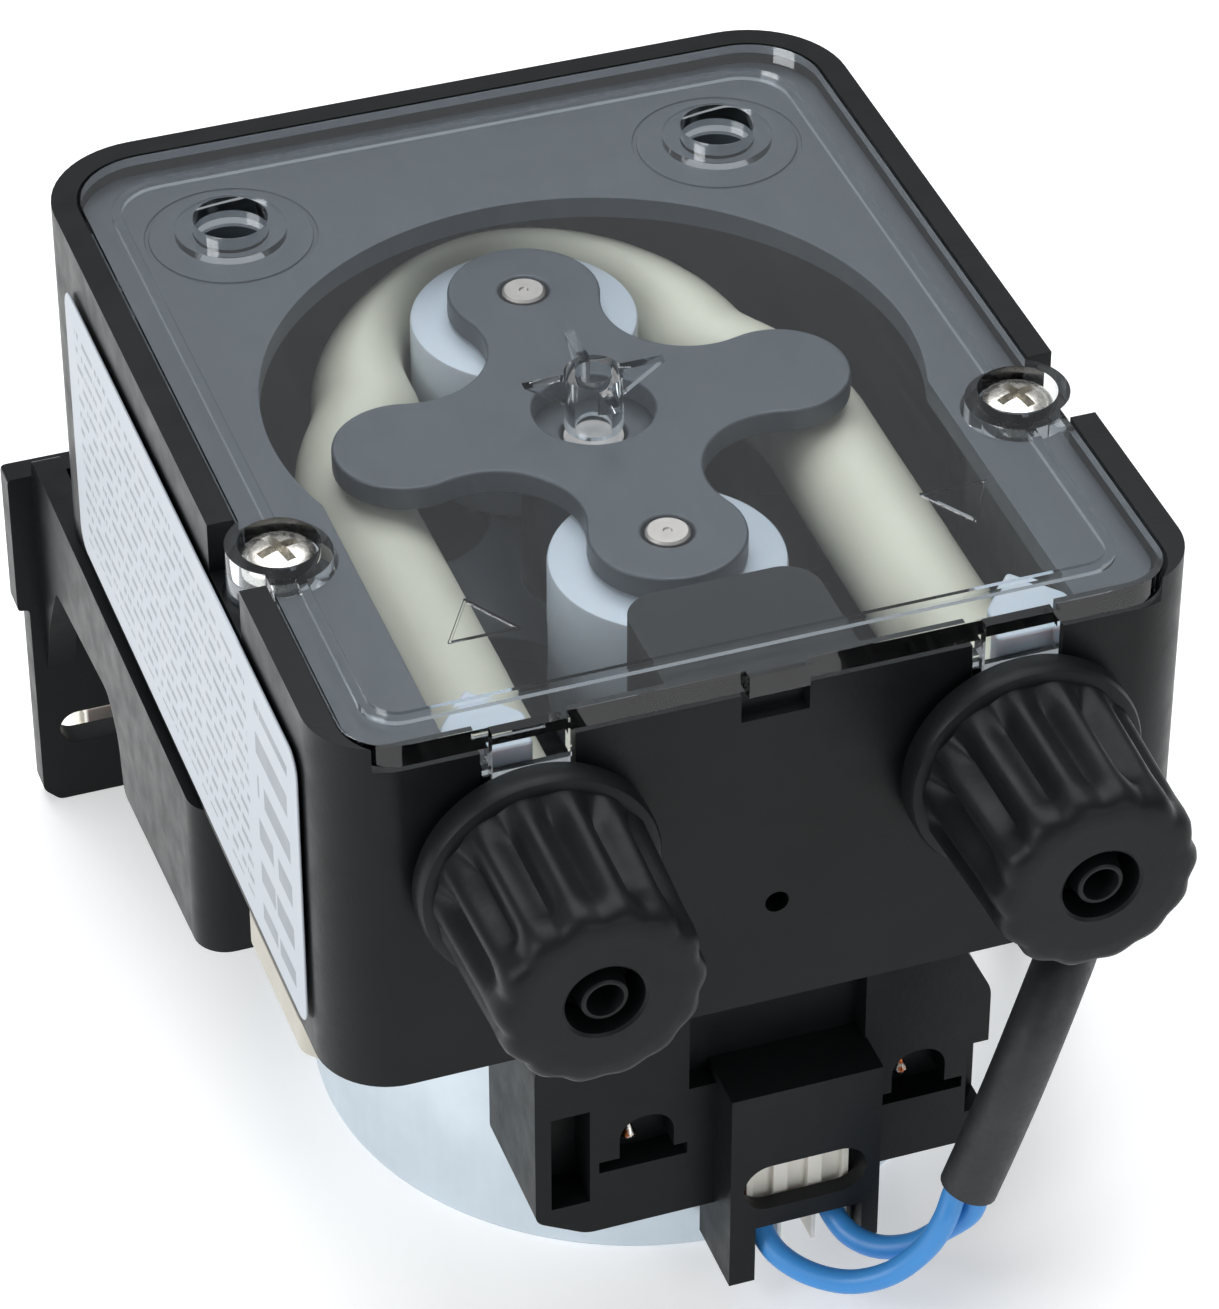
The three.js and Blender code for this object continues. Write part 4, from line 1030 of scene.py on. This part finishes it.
class PUMP_OT_deck(bpy.types.Operator):
    """The grey plate around the rotor's opening"""

    bl_idname = "pump.deck"
    bl_label = "Deck plate"

    def execute(self, context):
        low, high = DECK
        half = CHAMBER_HALF - 0.5
        plate = cut(
            raised(inner_outline(0.3), low.z, high.z),
            post(0, 0, size("deck_opening"), low.z - 1, high.z + 1, 160),
            block(-half, half, HOUSING[0].y, 0, low.z - 1, high.z + 1),
            *[post(side * SCREW_X, SCREW_Y, WELL_RADIUS + 0.3, low.z - 1, high.z + 1) for _, side in SIDES],
            *mounting_posts(size("mounting_radius"), low.z - 1, high.z + 1),
        )
        # a shallow step around each mounting hole
        for _, side in SIDES:
            x, y = side * size("mounting_x"), size("mounting_y")
            ring = cut(post(x, y, 7.4, high.z - 0.15, high.z + 1), post(x, y, 7.0, high.z - 1, high.z + 2))
            plate = cut(plate, ring)
        finished(plate, "deck", "pump_body", deck_polystyrene(), ["deck_plate"], edge=0.15)
        return {"FINISHED"}


class PUMP_OT_label(bpy.types.Operator):
    """The film label on the left side of the housing"""

    bl_idname = "pump.label"
    bl_label = "Side label"

    def execute(self, context):
        low, high = LABEL
        film = raised(rounded(low.y, high.y, low.z, high.z, (2, 2, 2, 2)), low.x, high.x, "X")
        finished(film, "label", "pump_body", label_film(), ["side_label"], edge=0.05, segments=1)
        return {"FINISHED"}


# ---------------------------------------------------------------- cover and its screws

CLIP_HALF = 3.1
FLOW_ARROWS = (
    ((-22.3, -30.4), (-16.7, -30.4), (-19.5, -25.7)),
    ((19.0, -24.6), (24.6, -24.6), (21.8, -29.2)),
)


def engraved_line(start, end, width, low, high):
    """A thin groove from one point to another, to be cut out of a plate."""
    a, b = Vector(start), Vector(end)
    along = (b - a).normalized() * width / 2
    aside = Vector((-along.y, along.x))
    corners = [a - along - aside, b + along - aside, b + along + aside, a - along + aside]
    return raised([tuple(c) for c in corners], low, high)


class PUMP_OT_cover(bpy.types.Operator):
    """The clear cover with its screw wells, spacer tubes, clips and centre boss"""

    bl_idname = "pump.cover"
    bl_label = "Clear cover"

    def execute(self, context):
        low, high = COVER
        body = HOUSING
        wall = size("wall")
        bottom = COVER_BOTTOM_Z
        back = size("back_corner") - wall - 0.3
        side_x = body[1].x - wall - 0.3
        front, behind = body[0].y + 0.15, body[1].y - wall - 0.3
        plate = raised(rounded(-side_x, side_x, front, behind, (4, 4, back, back)), bottom, high.z)
        parts = []
        deck_top = DECK[1].z + 0.3
        parts += mounting_posts(size("mounting_radius") + 1.6, deck_top, high.z)
        for _, side in SIDES:
            x = side * NOZZLE_X
            parts.append(post(side * SCREW_X, SCREW_Y, WELL_RADIUS, bottom - 2.4, high.z))
            parts.append(
                block(x - CLIP_HALF, x + CLIP_HALF, body[0].y - 0.8, body[0].y + 1.3, high.z - 4.7, high.z)
            )
            parts.append(
                block(
                    x - CLIP_HALF - 0.5, x + CLIP_HALF + 0.5, body[0].y + 0.3, body[0].y + 1.3,
                    high.z - 4.7, high.z - 3.6,
                )
            )
        parts.append(block(-2.5, 2.5, body[0].y - 0.8, body[0].y + 2, bottom, high.z))
        # a low rib that stiffens the plate, a little inside its edge
        ring = cut(
            raised(rounded(-side_x + 2.4, side_x - 2.4, -38, behind - 2.4, (3, 3, 5, 5)),
                   bottom - 0.65, bottom + 0.4),
            raised(rounded(-side_x + 3.2, side_x - 3.2, -37.2, behind - 3.2, (2.4, 2.4, 4.4, 4.4)),
                   bottom - 1, bottom + 1),
        )
        ring = cut(ring, *[post(side * SCREW_X, SCREW_Y, 3.6, bottom - 2, high.z) for _, side in SIDES])
        parts.append(ring)
        boss_radius, boss_bottom = 2.45, low.z
        parts.append(post(0, 0, boss_radius, boss_bottom, bottom + 0.5, 48))
        for i in range(4):
            fin = raised(
                [(0, bottom + 0.5), (0, bottom - 2.6), (boss_radius, bottom - 2.6), (6.1, bottom),
                 (6.1, bottom + 0.5)],
                -0.45, 0.45, "Y",
            )
            fin.data.transform(Matrix.Rotation(i * math.pi / 2, 4, "Z"))
            parts.append(fin)
        plate = joined(plate, *parts)
        holes = [post(0, 0, boss_radius - 0.9, boss_bottom - 1, bottom, 48)]
        for _, side in SIDES:
            holes.append(post(side * SCREW_X, SCREW_Y, 3.3, high.z - 2.5, high.z + 1))
            holes.append(post(side * SCREW_X, SCREW_Y, 1.6, low.z, high.z, 32))
        holes += mounting_posts(size("mounting_radius"), deck_top - 1, high.z + 1)
        plate = cut(plate, *holes)
        for corners in FLOW_ARROWS:
            for start, end in zip(corners, corners[1:] + corners[:1]):
                plate = cut(plate, engraved_line(start, end, 0.22, bottom - 1, bottom + 0.25))
        finished(plate, "cover", "cover", clear_polycarbonate(), ["clear_cover"], edge=0.22)
        return {"FINISHED"}


class PUMP_OT_screws(bpy.types.Operator):
    """The two cross-recessed screws of the cover and the four under the mounting plate"""

    bl_idname = "pump.screws"
    bl_label = "Screws"

    def execute(self, context):
        for name, side in SIDES:
            low, high = span(f"cover_screw_{name}")
            x, y, _ = centre(f"cover_screw_{name}")
            head = (high.x - low.x) / 2
            dome = [(head * math.sin(math.radians(a)), high.z - 1.0 + 1.0 * math.cos(math.radians(a)))
                    for a in range(0, 91, 10)]
            profile = [*dome, (head, high.z - 1.7), (1.3, high.z - 1.9), (1.3, low.z + 1), (0.7, low.z),
                       (0, low.z)]
            screw = turned(profile, x, y, steps=64)
            for turn in (0.3, 0.3 + math.pi / 2):
                groove = raised(
                    [(-2.0, 0), (2.0, 0), (1.2, -1.3), (-1.2, -1.3)], -0.42, 0.42, "Y"
                )
                place = Matrix.Translation((x, y, high.z + 0.02))
                groove.data.transform(place @ Matrix.Rotation(turn, 4, "Z"))
                screw = cut(screw, groove)
            finished(screw, f"screw_{name}", "cover", nickel_plated(),
                     [f"cover_screw_{name}"], edge=0.06)
        for place in ("front_left", "front_right", "rear_left", "rear_right"):
            node = f"plate_screw_{place}"
            low, high = span(node)
            x, y, _ = centre(node)
            head = (high.x - low.x) / 2
            profile = [(0, low.z), (head * 0.7, low.z + 0.15), (head, low.z + 0.7), (head, low.z + 1.8),
                       (1.3, low.z + 1.8), (1.3, high.z), (0, high.z)]
            screw = turned(profile, x, y, steps=48)
            for turn in (0, math.pi / 2):
                groove = block(-1.5, 1.5, -0.4, 0.4, -1, 1.0)
                groove.data.transform(Matrix.Translation((x, y, low.z)) @ Matrix.Rotation(turn, 4, "Z"))
                screw = cut(screw, groove)
            finished(screw, f"fixing_{place}", "pump_body", nickel_plated(), [node], edge=0.08)
        return {"FINISHED"}


# ---------------------------------------------------------------- rotor, rollers and tube


def rotor_outline():
    """Two guide lobes on X and two roller lobes on Y, joined by hollows that touch both neighbours."""
    lobes = [
        (Vector((size("guide_orbit"), 0)), size("guide_radius")),
        (Vector((0, ROLLER_ORBIT)), size("lobe_radius")),
        (Vector((-size("guide_orbit"), 0)), size("guide_radius")),
        (Vector((0, -ROLLER_ORBIT)), size("lobe_radius")),
    ]
    fillet = size("arm_fillet")
    hollows = []
    for (first, radius_a), (second, radius_b) in zip(lobes, lobes[1:] + lobes[:1]):
        line = second - first
        gap = line.length
        along = (gap**2 + (radius_a + fillet) ** 2 - (radius_b + fillet) ** 2) / (2 * gap)
        height = math.sqrt(max(0, (radius_a + fillet) ** 2 - along**2))
        line.normalize()
        hollows.append(first + line * along + Vector((line.y, -line.x)) * height)

    def heading(vector):
        return math.degrees(math.atan2(vector.y, vector.x))

    outline = []
    for i, (centre, radius) in enumerate(lobes):
        before = heading(hollows[i - 1] - centre)
        after = heading(hollows[i] - centre)
        after += 360 * math.ceil((before - after) / 360)
        outline += arc(centre.x, centre.y, radius, before, after, 28)
        next_centre = lobes[(i + 1) % 4][0]
        start = heading(centre - hollows[i])
        end = heading(next_centre - hollows[i])
        end -= 360 * math.ceil((end - start) / 360)
        outline += arc(hollows[i].x, hollows[i].y, fillet, start, end, 20)[1:-1]
    return outline


class PUMP_OT_rotor(bpy.types.Operator):
    """Upper plate, lower plate with hub, the two rollers and their pins"""

    bl_idname = "pump.rotor"
    bl_label = "Rotor and rollers"

    def execute(self, context):
        outline = rotor_outline()
        pins = [(0, ROLLER_ORBIT), (0, -ROLLER_ORBIT)]
        low, high = UPPER_PLATE
        upper = raised(outline, low.z, high.z)
        upper = cut(upper, post(0, 0, 5.1, low.z - 1, high.z + 1, 96))
        for x, y in pins:
            upper = cut(upper, post(x, y, PIN_HOLE, low.z - 1, high.z + 1, 48))
        finished(upper, "upper_plate", "rotor", rotor_acetal(), ["rotor_upper_plate"], edge=0.25)

        low, high = HUB
        lower = joined(raised(outline, low.z, low.z + 2.2), post(0, 0, 6, low.z, high.z, 96))
        lower = cut(lower, post(0, 0, 2.8, low.z - 1, high.z + 1, 48))
        for x, y in pins:
            lower = cut(lower, post(x, y, PIN_HOLE, low.z - 1, low.z + 4, 48))
        finished(lower, "lower_plate_and_hub", "rotor", rotor_acetal(), ["rotor_hub"], edge=0.25)

        for name, (x, y) in zip(("rear", "front"), pins):
            low, high = ROLLER
            edge = 0.45
            outer = ROLLER_RADIUS
            profile = [(PIN_HOLE, low.z), (outer - edge, low.z), (outer - 0.1, low.z + 0.13),
                       (outer, low.z + edge), (outer, high.z - edge), (outer - 0.1, high.z - 0.13),
                       (outer - edge, high.z), (PIN_HOLE, high.z)]
            roller = turned(profile, x, y, steps=128)
            finished(roller, f"roller_{name}_body", f"{name}_roller", roller_acetal(),
                     [f"roller_{name}"], edge=0)
            low, high = PIN
            radius = (high.x - low.x) / 2
            profile = [(0, low.z), (radius - 0.2, low.z), (radius, low.z + 0.2), (radius, high.z - 0.2),
                       (radius - 0.2, high.z - 0.02), (0.4, high.z - 0.02), (0.3, high.z - 0.15),
                       (0, high.z - 0.15)]
            pin = turned(profile, x, y, steps=48)
            finished(pin, f"pin_{name}", "rotor", ground_steel(), [f"roller_pin_{name}"], edge=0)
        return {"FINISHED"}


def smooth_step(value):
    t = min(1, max(0, value))
    return t * t * (3 - 2 * t)


SQUEEZE_START = 50
SQUEEZE_END = 4
BEND_BLEND = 2.5


class PUMP_OT_tube(bpy.types.Operator):
    """The pump tube: two free legs and a bend that the rear roller presses flat"""

    bl_idname = "pump.tube"
    bl_label = "Pump tube"

    def execute(self, context):
        stations = self.stations()
        skin = [self.ring(s, 0) for s in stations]
        bore = [self.ring(s, 1.6) for s in reversed(stations)]
        tube = through_rings(skin + bore)
        finished(tube, "squeeze_tube", "pump_body", pump_rubber(), ["pump_tube"], edge=0)
        for name, side in SIDES:
            low, high = span(f"tube_retainer_{name}")
            middle = (low.x + high.x) / 2
            shoulder = low.y + 1.6
            outline = [(low.x, low.y), (high.x, low.y), (high.x, shoulder), (middle, high.y),
                       (low.x, shoulder)]
            wedge = raised(softened(outline, 0.5), low.z, high.z)
            finished(wedge, f"retainer_{name}", "pump_body", clear_nylon(),
                     [f"tube_retainer_{name}"], edge=0.35)
        return {"FINISHED"}

    def stations(self):
        """Position, outward direction and squeeze, from the left leg round to the right one."""
        leg_end = TUBE[0].y
        legs, bends = 6, 120
        stations = [(-NOZZLE_X, leg_end * (1 - i / legs), math.pi, 0.0) for i in range(legs)]
        for i in range(bends + 1):
            angle = math.pi * (1 - i / bends)
            squeeze = self.squeeze(angle)
            x, y = self.bend_place(angle)
            before, after = self.bend_place(angle + 0.004), self.bend_place(angle - 0.004)
            outward = math.atan2(after[1] - before[1], after[0] - before[0]) + math.pi / 2
            stations.append((x, y, outward, squeeze))
        stations += [(NOZZLE_X, leg_end * (1 - i / legs), 0.0, 0.0) for i in reversed(range(legs))]
        return stations

    def squeeze(self, angle):
        """How flat the tube is pressed: not at all at SQUEEZE_START degrees from the roller."""
        span_angle = math.radians(SQUEEZE_START - SQUEEZE_END)
        return smooth_step((math.radians(SQUEEZE_START) - abs(angle - math.pi / 2)) / span_angle)

    def bend_place(self, angle):
        """Where the bend runs: as wide as the nozzles stand, or round the rear roller where that is wider."""
        free, pressed = size("tube_radius"), size("squeezed") / 2
        reach = ROLLER_RADIUS + RUN_GAP + free + (pressed - free) * self.squeeze(angle)
        from_roller = angle - math.pi / 2
        inside = reach**2 - (ROLLER_ORBIT * math.sin(from_roller)) ** 2
        round_roller = ROLLER_ORBIT * math.cos(from_roller) + math.sqrt(max(0, inside))
        apart = math.sqrt((NOZZLE_X - round_roller) ** 2 + BEND_BLEND**2)
        orbit = (NOZZLE_X + round_roller + apart) / 2
        return orbit * math.cos(angle), orbit * math.sin(angle)

    def ring(self, station, wall, sides=36):
        x, y, outward, squeeze = station
        radius = size("tube_radius")
        wall -= 0.3 * squeeze if wall else 0
        thick = radius + (size("squeezed") / 2 - radius) * squeeze - wall
        high = radius + (6.5 - radius) * squeeze - wall
        ring = []
        for i in range(sides):
            a = math.tau * i / sides
            across = thick * math.cos(a)
            ring.append((x + across * math.cos(outward), y + across * math.sin(outward),
                         NOZZLE_Z + high * math.sin(a)))
        return ring


# ---------------------------------------------------------------- nozzles and nuts

NUT_RIBS = 14
NUT_HOLE = 3.2


class PUMP_OT_nuts(bpy.types.Operator):
    """The ribbed hose nuts, the rings they grip with and the nozzles inside them"""

    bl_idname = "pump.nuts"
    bl_label = "Hose nuts and nozzles"

    def execute(self, context):
        for name, side in SIDES:
            x = side * NOZZLE_X
            nut = self.nut(x)
            finished(nut, f"nut_{name}", f"{name}_nut", black_nylon(), [f"hose_nut_{name}"], edge=0)
            low, high = span(f"compression_ring_{name}")
            outer = (high.x - low.x) / 2
            profile = [(NUT_HOLE, low.y), (outer - 0.3, low.y + 0.5), (outer, low.y + 0.9), (outer, high.y),
                       (NUT_HOLE, high.y)]
            ring = turned(profile, x, 0, NOZZLE_Z, "Y", 64)
            finished(ring, f"grip_ring_{name}", f"{name}_nut", black_nylon(),
                     [f"compression_ring_{name}"], edge=0.1)
            nozzle = self.nozzle(x)
            finished(nozzle, f"nozzle_{name}", "pump_body", black_nylon(), [f"hose_nozzle_{name}"],
                     edge=0)
        return {"FINISHED"}

    def nut(self, x):
        """A flange, a tapering body with rounded ribs, and a scalloped cap that runs into a flat tip."""
        back, tip = NUT[1].y, NUT[0].y
        flange = (NUT[1].x - NUT[0].x) / 2
        rows = [(back, 4.6, 0), (back, flange - 0.6, 0), (back - 0.15, flange - 0.2, 0),
                (back - 0.5, flange, 0), (back - 2.2, flange, 0), (back - 2.6, flange - 0.2, 0),
                (back - 2.8, flange - 0.6, 0)]
        start, cap = back - 2.85, tip + 4.2
        for i in range(9):
            t = i / 8
            y = start + (cap - start) * t
            peak = 8.95 - 0.45 * t
            depth = 1.55 * smooth_step(i / 1.5) if i < 2 else 1.55 - 0.35 * t
            rows.append((y, peak - max(depth, 0.3), max(depth, 0.3)))
        for y, peak, depth in ((tip + 3.3, 8.5, 0.95), (tip + 2.4, 8.5, 0.55), (tip + 1.2, 8.4, 0.42),
                               (tip + 0.6, 8.15, 0.36), (tip + 0.2, 7.75, 0.25), (tip, 7.2, 0.1),
                               (tip, 6.0, 0)):
            rows.append((y, peak - depth, depth))
        rows += [(tip, NUT_HOLE + 0.25, 0), (tip + 0.2, NUT_HOLE, 0), (HOUSING[0].y - 14.4, NUT_HOLE, 0),
                 (HOUSING[0].y - 13.9, 4.6, 0)]
        rings = []
        steps = NUT_RIBS * 12
        for y, base, rib in rows:
            ring = []
            for i in range(steps):
                a = math.tau * i / steps
                hump = 0.5 + 0.5 * math.cos(NUT_RIBS * a)
                radius = base + rib * hump**0.8
                ring.append((x + radius * math.cos(a), y, NOZZLE_Z + radius * math.sin(a)))
            rings.append(ring)
        return through_rings(rings)

    def nozzle(self, x):
        """Rear barb inside the tube, flange and thread in the wall, front barb for the hose."""
        front, rear = NOZZLE
        wall_face = HOUSING[0].y
        inside_tube = 2.9
        profile = [(1.45, rear.y), (inside_tube - 0.5, rear.y), (inside_tube, rear.y - 1),
                   (inside_tube, wall_face + 2.82), (4.3, wall_face + 2.8), (4.3, wall_face - 0.3)]
        y = wall_face - 0.3
        while y > wall_face - 8.4:
            profile += [(4.3, y - 0.2), (3.95, y - 0.5), (3.95, y - 0.7), (4.3, y - 1.0)]
            y -= 1.2
        profile += [(4.1, wall_face - 9), (2.5, wall_face - 9.4), (2.5, front.y + 2.6), (2.1, front.y + 2.4),
                    (2.2, front.y + 1.8), (1.85, front.y + 0.1), (1.7, front.y), (1.5, front.y),
                    (1.45, front.y + 0.1)]
        barrel = turned(profile, x, 0, NOZZLE_Z, "Y", 72)
        # the flange that closes the slot in the housing's wall
        flange = block(x - 3.5, x + 3.5, wall_face + 0.4, wall_face + 2.2, NOZZLE_Z, NOZZLE[1].z)
        flange = cut(flange, bored(x, NOZZLE_Z, 3.4, wall_face - 1, wall_face + 4))
        return joined(barrel, flange)


# ---------------------------------------------------------------- mounting plate and bracket


class PUMP_OT_plate(bpy.types.Operator):
    """The plate between motor and housing"""

    bl_idname = "pump.plate"
    bl_label = "Mounting plate"

    def execute(self, context):
        low, high = PLATE
        wide = high.x
        waist = wide - 4
        outline = [(-wide + 2.2, low.y), (wide - 2.2, low.y), (wide, low.y + 2.2), (wide, -17.5),
                   (waist, -13.5), (waist, high.y), (-waist, high.y), (-waist, -13.5), (-wide, -17.5),
                   (-wide, low.y + 2.2)]
        plate = raised(softened(outline, 0.8), low.z, high.z)
        holes = [post(0, 0, 6.3, low.z - 1, high.z + 1)]
        for place in ("front_left", "front_right", "rear_left", "rear_right"):
            x, y, _ = centre(f"plate_screw_{place}")
            holes.append(post(x, y, FIXING_HOLE, low.z - 1, high.z + 1, 32))
        holes += mounting_posts(size("mounting_radius") + 0.3, low.z - 1, high.z + 1)
        plate = cut(plate, *holes)
        finished(plate, "base_plate", "pump_body", plate_plastic(), ["mounting_plate"])
        return {"FINISHED"}


class PUMP_OT_bracket(bpy.types.Operator):
    """The angle bracket: flange under the housing, side webs, and upright plate with two slots"""

    bl_idname = "pump.bracket"
    bl_label = "Bracket"

    def execute(self, context):
        low, high = BRACKET
        thick = 2.6
        web_x = 36.9
        flange_top = PLATE[0].z - 0.3
        web_top = HOUSING[0].z - 0.3
        inner = high.y - thick
        part = block(-web_x + 1, web_x - 1, -2, high.y - 1, flange_top - thick, flange_top)
        half = high.x - 1.1
        outline = [(-half + 1.5, 0), (half - 1.5, 0), (half, 1.5), (half, 23), (high.x, 23), (high.x, 38),
                   (-high.x, 38), (-high.x, 23), (-half, 23), (-half, 1.5)]
        part = joined(part, raised(softened(outline, 0.5, 3), inner, high.y, "Y"))
        profile = [(-2, 24.2), (20.5, 22.6), (21.5, 28), (24.5, 31), (inner - 6, 29), (inner - 2, 22),
                   (inner + 0.5, 14), (inner + 0.5, web_top), (-2, web_top)]
        for _, side in SIDES:
            x0, x1 = sorted((side * web_x, side * (web_x - thick)))
            part = joined(part, raised(softened(profile, 1.2, 4), x0, x1, "X"))
            x0, x1 = sorted((side * web_x, side * (web_x - 5)))
            corners = (2.9, 0, 0, 0) if side < 0 else (0, 2.9, 0, 0)
            part = joined(part, raised(rounded(x0, x1, -5, -0.5, corners), 24.2, web_top))
        part = cut(part, post(CAN_X, 0, CAN_RADIUS + 0.3, 0, PLATE[0].z, 120))
        waist = PLATE[1].x - 3
        part = cut(part, block(-waist, waist, -6, PLATE[1].y + 1, flange_top, HOUSING[0].z))
        for place in ("rear_left", "rear_right"):
            x, y, _ = centre(f"plate_screw_{place}")
            part = cut(part, post(x, y, FIXING_HOLE, 0, 50, 32))
        for _, side in SIDES:
            x = side * (half - 7)
            slot = rounded(x - 5, x + 5, 6.4, 10, (1.8,) * 4, 8)
            part = cut(part, raised(slot, inner - 1, high.y + 1, "Y"))
        part = cut(part, *mounting_posts(size("mounting_radius") + RUN_GAP, 30, 50))
        finished(part, "angle_bracket", "pump_body", black_abs(), ["mounting_bracket"])
        return {"FINISHED"}


# ---------------------------------------------------------------- motor and terminal block


class PUMP_OT_motor(bpy.types.Operator):
    """The zinc-plated can, and finishes for what it holds"""

    bl_idname = "pump.motor"
    bl_label = "Motor"

    def execute(self, context):
        top = CAN[1].z
        radius = CAN_RADIUS
        profile = [(0, 0), (radius - 1.2, 0), (radius - 0.6, 0.15), (radius - 0.15, 0.6), (radius, 1.2),
                   (radius, top - 3.4), (radius - 0.25, top - 3.2), (radius - 0.25, top - 2.9),
                   (radius, top - 2.7), (radius, top - 0.2), (radius - 0.2, top), (radius - 0.9, top),
                   (radius - 0.9, 0.9), (0, 0.9)]
        can = turned(profile, CAN_X, 0, steps=160)
        finished(can, "can", "pump_body", zinc_plated(), ["motor_can"], edge=0, angle=50)
        dressed("stator_coil", copper_winding())
        dressed("magnet_rotor", sintered_ferrite())
        dressed("gear_case", plate_plastic())
        dressed("drive_shaft", ground_steel())
        return {"FINISHED"}


class PUMP_OT_terminals(bpy.types.Operator):
    """The terminal block on the can, the winding ends in it and the plug in its socket"""

    bl_idname = "pump.terminals"
    bl_label = "Terminal block and plug"

    def execute(self, context):
        low, high = BLOCK
        face = low.y + 3.8
        left, right = low.x, high.x
        outline = [(left, 12.1), (left + 4.5, 9.6), (right, 9.6), (right, high.z - 5), (right - 2.5, high.z),
                   (left + 2.5, high.z), (left, high.z - 2.5)]
        part = raised(softened(outline, 0.8), face, -20, "Y")
        socket_left, socket_right = -0.8, 12.6
        socket_top = 24.2
        roof = block(socket_left - 2.4, socket_right - 0.2, face - 1, face + 2.2, socket_top - 1, high.z + 1)
        part = cut(part, roof)
        part = joined(part, block(socket_left, socket_right, low.y, face + 3.5, low.z, socket_top))
        part = cut(part, post(CAN_X, 0, CAN_RADIUS + 0.3, -1, 50, 160))
        tools = [block(socket_left + 1.7, socket_right - 1.7, low.y + 1.5, -25, low.z - 1, PLUG[1].z + 0.3)]
        window = rounded(socket_left + 1.2, socket_right - 1.2, 11.2, 16, (2.4,) * 4, 12)
        tools.append(raised(window, low.y - 1, low.y + 2, "Y"))
        tools.append(block(socket_left + 2.3, socket_right - 1.5, low.y - 1, low.y + 2, low.z - 1, 9.2))
        tools.append(block(5.9, socket_right + 1, low.y - 1, -25, low.z - 1, low.z + 2))
        for x, slot_x in ((-6.9, -7.2), (17.4, 17.5)):
            keyhole = rounded(x - 2.4, x + 2.4, 16.9, 21.4, (0, 0, 2.2, 2.2))
            tools.append(raised(keyhole, face - 1, face + 2.7, "Y"))
            tools.append(block(slot_x - 3.9, slot_x + 3.9, face - 1, face + 2.7, 16.1, 17.3))
        tools.append(block(-15.3, -11.9, face - 1, face + 4, 13.2, 23.3))
        tools.append(block(right - 1.9, right + 1, face - 1, face + 3, 13, 20.7))
        part = cut(part, *tools)
        finished(part, "terminals", "pump_body", black_nylon(), ["terminal_block"], edge=0.3)
        self.plug()
        for name in ("left", "right"):
            node = f"winding_end_{name}"
            a, b = span(node)
            x, y, _ = centre(node)
            route = smooth_path([(x - 0.1, y, b.z - 0.5), (x + 0.1, y, a.z + 2.4), (x, y, a.z + 0.9)], 6)
            radii = [0.28] * 7 + [0.42, 0.62, 0.74, 0.7, 0.5, 0.25]
            wire = through_rings(sections(route, radii[: len(route)], 14), closed=False)
            finished(wire, f"soldered_{node}", "pump_body", soldered_copper(), [node], edge=0)
        return {"FINISHED"}

    def plug(self):
        low, high = PLUG
        middle = (low.x + high.x) / 2
        plug = block(low.x, high.x, low.y, high.y, low.z, high.z)
        tools = []
        for pole in (-3.1, 0, 3.1):
            x = middle + pole
            tools.append(block(x - 1.35, x + 1.35, low.y - 1, -32, low.z - 1, low.z + 4.6))
            tools.append(block(x - 0.9, x + 0.9, low.y - 1, low.y + 0.6, 9.6, high.z - 1.6))
        plug = cut(plug, *tools)
        finished(plug, "plug", "pump_body", plug_nylon(), ["plug_housing"], edge=0.15)


# ---------------------------------------------------------------- add-on

PIECES = (
    PUMP_OT_stage,
    PUMP_OT_lead,
    PUMP_OT_housing,
    PUMP_OT_deck,
    PUMP_OT_label,
    PUMP_OT_rotor,
    PUMP_OT_tube,
    PUMP_OT_cover,
    PUMP_OT_screws,
    PUMP_OT_nuts,
    PUMP_OT_plate,
    PUMP_OT_bracket,
    PUMP_OT_motor,
    PUMP_OT_terminals,
)


class PUMP_PT_panel(bpy.types.Panel):
    """Sizes, colours and the pieces of the pump"""

    bl_idname = "PUMP_PT_panel"
    bl_label = "Dosing pump"
    bl_space_type = "VIEW_3D"
    bl_region_type = "UI"
    bl_category = "Dosing pump"

    def draw(self, context):
        for piece in PIECES:
            self.layout.operator(piece.bl_idname)
        for group in (context.scene.pump_sizes, context.scene.pump_colours):
            box = self.layout.box()
            for name in group.__annotations__:
                box.prop(group, name)


CLASSES = (PumpSizes, PumpColours, *PIECES, PUMP_PT_panel)


def register():
    for cls in CLASSES:
        bpy.utils.register_class(cls)
    bpy.types.Scene.pump_sizes = bpy.props.PointerProperty(type=PumpSizes)
    bpy.types.Scene.pump_colours = bpy.props.PointerProperty(type=PumpColours)


def unregister():
    del bpy.types.Scene.pump_sizes
    del bpy.types.Scene.pump_colours
    for cls in reversed(CLASSES):
        bpy.utils.unregister_class(cls)


def main():
    register()
    for piece in PIECES:
        group, name = piece.bl_idname.split(".")
        result = getattr(getattr(bpy.ops, group), name)()
        if result != {"FINISHED"}:
            raise RuntimeError(f"{piece.bl_label} was not built")


if __name__ == "__main__":
    main()
